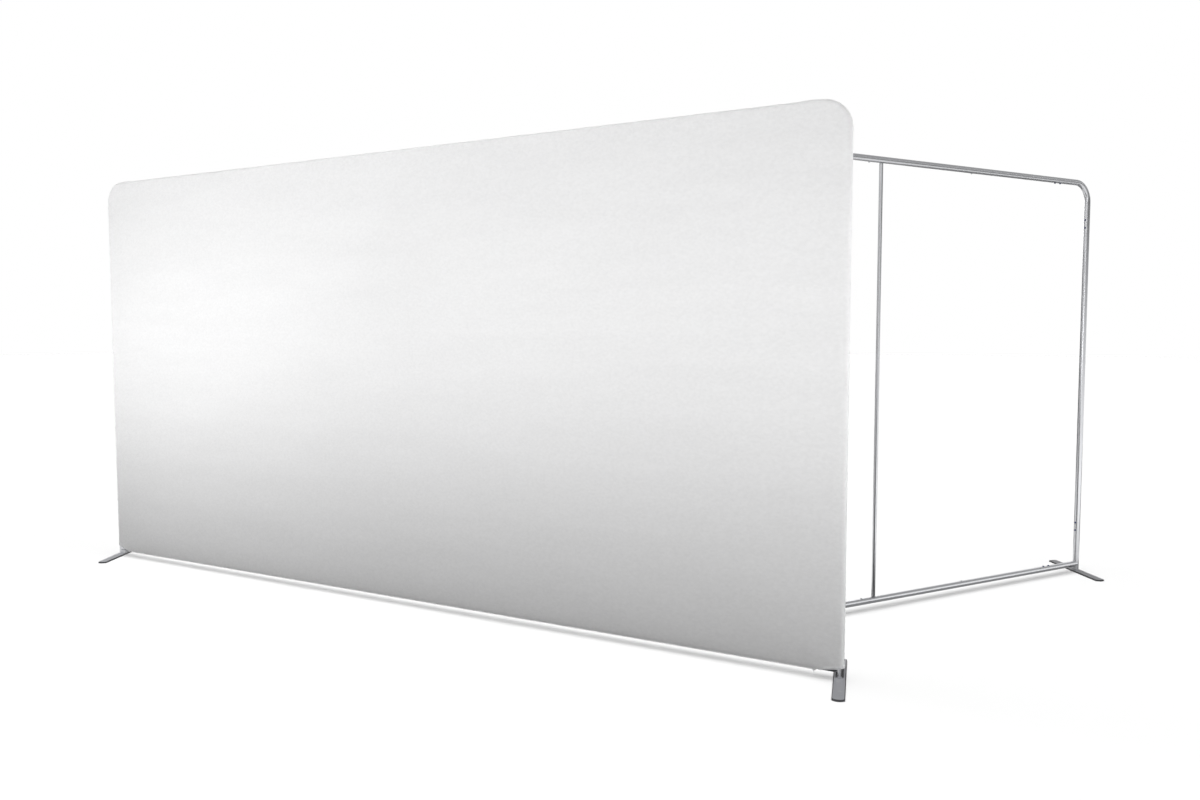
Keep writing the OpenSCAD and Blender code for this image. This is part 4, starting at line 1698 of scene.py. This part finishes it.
def seen_directly(sketch: NodeSketch) -> bpy.types.Node:
    """Value that is 1 for camera, glossy and transmission rays.

    Args:
        sketch: The material or world that needs it.

    Returns:
        Node whose first output is the value.
    """
    path = sketch.add("ShaderNodeLightPath")
    eye_or_gloss = sketch.math("MAXIMUM", (path, "Is Camera Ray"), (path, "Is Glossy Ray"))
    return sketch.math("MAXIMUM", eye_or_gloss, (path, "Is Transmission Ray"))


@dataclass
class Studio:
    """Pale floor, white surroundings, soft lamps, cards and the camera.

    Places of lamps, cards and camera are measured from the wall's middle.
    """

    place: WallPlace
    floor_half: float = 60.0
    fill: float = 0.12
    overhead: float = 5.95
    overhead_angle: float = 98.0
    eye: Point = (3.367, -3.8456, 1.3805)
    yaw: float = -0.5195
    pitch: float = 0.0675
    lens: float = 29.832
    sensor: float = 36.0
    lamps: tuple[Lamp, ...] = (
        Lamp("front_strip", (0, -1.6, 1.2), (0, 0, 2.0), (6.5, 0.9), 49.6),
        Lamp("left_strip", (-2.3, -1.6, 1.2), (-2.3, 0, 2.0), (2.0, 0.9), 8.8),
        Lamp("left_low", (-1.95, -1.6, 1.1), (-1.95, 0, 1.1), (1.7, 0.4), 6.4),
        Lamp("high_strip", (0, -0.6, 3.4), (0, -0.3, 0.0), (6.0, 1.2), 34.5),
        Lamp("right_side", (4.2, -0.6, 1.3), (2.3, 0, 1.3), (0.8, 2.0), 21.7),
        Lamp("back_strip", (-1.2, 5.2, 2.8), (0, 0, 1.1), (5.0, 1.4), 60.0),
        Lamp("back_wash", (0, 3.2, 1.9), (0, 0, 1.2), (5.0, 2.0), 56.0, for_cover=True),
        Lamp("top_edge", (0, 0.7, 3.2), (0, 0, 2.25), (5.0, 0.6), 12.0, for_cover=True),
        Lamp("right_edge", (3.1, 0.5, 1.4), (2.28, 0, 1.3), (0.5, 2.2), 6.0, for_cover=True),
    )
    cards: tuple[DarkCard, ...] = (
        DarkCard("card_behind_wall", (-1.0, 3.4, 1.8), (2.9, 2.4, 1.8), (4.0, 3.6), 0.0, 0.2),
        DarkCard("card_far_floor", (5.2, 5.7, 0.006), (5.2, 5.7, 3.0), (8.6, 5.4), 0.24, 0.24),
        DarkCard("card_under_rail", (2.27, 1.36, 0.004), (2.27, 1.36, 3), (3.2, 0.4), 0.34, 0.34, 59),
        DarkCard("card_pole_floor", (2.4, 0.6, 0.003), (2.4, 0.6, 3.0), (1.4, 1.4), 0.05, 0.05),
        DarkCard("card_beside_frame", (4.59, 2.31, 1.3), (3.73, 2.82, 1.3), (5.0, 2.6), 1.7, 0.15),
        DarkCard("card_ceiling", (6.5, 5.0, 5.0), (6.5, 5.0, 0.0), (9.0, 9.0), 0.5, 0.5),
        DarkCard("card_before_pole", (2.52, 0.19, 0.5), (2.27, 1.36, 0.5), (1.2, 1.0), 0.05, 1.2),
    )

    def at_wall(self, point: Point) -> Point:
        """Moves a point from the wall's middle to the model's frame."""
        return (point[0] + self.place.middle_x, point[1] + self.place.middle_y, point[2])

    def placed(self, thing: Lamp | DarkCard) -> Lamp | DarkCard:
        """Copy of a lamp or card, moved to the model's frame."""
        return replace(thing, place=self.at_wall(thing.place), aim=self.at_wall(thing.aim))

    def build_floor(self) -> bpy.types.Object:
        """Lays the floor.

        Returns:
            The floor.
        """
        floor = add_primitive(
            "studio_floor", bpy.ops.mesh.primitive_plane_add, size=2 * self.floor_half
        )
        FloorFinish(line_y=self.place.middle_y).dress(floor)
        return floor

    def build_world(self) -> None:
        """White surroundings to the eye, and a soft fill for the light."""
        world = bpy.data.worlds.new("studio_world")
        bpy.context.scene.world = world
        world.use_nodes = True
        sketch = NodeSketch.of_world(world)
        seen = seen_directly(sketch)
        strength = sketch.math("MAXIMUM", seen, self.fill)
        sketch.link(strength, 0, sketch.shader, "Strength")
        sketch.shader.inputs["Color"].default_value = (1, 1, 1, 1)

    def build_lamps(self, floor: bpy.types.Object, cover: list[bpy.types.Object]) -> None:
        """Hangs the soft lamps for the set, and a wide high one for the floor alone.

        The poles see only the surroundings, so that no lamp draws a streak on them.

        Args:
            floor: The floor, on which the frames' contact shadows fall.
            cover: Pieces of the cover, whose wide shade the studio fills up.
        """
        poles = [obj for name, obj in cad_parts.items() if "pole" in name]
        unlit = linked("unlit_by_lamps", [floor, *poles], "EXCLUDE")
        cloth = linked("lit_at_the_edges", cover, "INCLUDE")
        for lamp in self.lamps:
            self.placed(lamp).build(cloth if lamp.for_cover else unlit)
        data = bpy.data.lights.new("overhead", "SUN")
        data.energy = self.overhead
        data.angle = math.radians(self.overhead_angle)
        lamp = add_object("overhead", data)
        lamp.light_linking.receiver_collection = linked("lit_from_above", [floor], "INCLUDE")
        lamp.light_linking.blocker_collection = linked("lets_light_by", cover, "EXCLUDE")

    def build_cards(self) -> None:
        """Stands the cards out of sight."""
        for card in self.cards:
            self.placed(card).build()

    def build_camera(self) -> None:
        """Sets the camera at the photograph's place."""
        data = bpy.data.cameras.new("camera")
        data.lens = self.lens
        data.sensor_width = self.sensor
        data.clip_end = 500
        camera = add_object("camera", data)
        level = math.cos(self.pitch)
        way = Vector(
            (math.sin(self.yaw) * level, math.cos(self.yaw) * level, -math.sin(self.pitch))
        )
        camera.location = self.at_wall(self.eye)
        camera.rotation_euler = way.to_track_quat("-Z", "Y").to_euler()
        bpy.context.scene.camera = camera

    def build(self, cover: list[bpy.types.Object]) -> None:
        """Builds the whole studio.

        Args:
            cover: Pieces of the fabric cover.
        """
        bpy.context.scene.view_settings.view_transform = "Standard"
        self.build_camera()
        floor = self.build_floor()
        self.build_world()
        self.build_lamps(floor, cover)
        self.build_cards()


def main() -> None:
    """Builds the set in order: cover, frames, feet, studio."""
    place = WallPlace()
    cover = FabricCover(place).build()
    TubeFrame("wall_", TUBE_WALL).dress()
    TubeFrame("bare_", TUBE_BARE).dress()
    SmallSteel().dress()
    Feet().dress()
    Studio(place).build(cover)


if __name__ == "__main__":
    main()
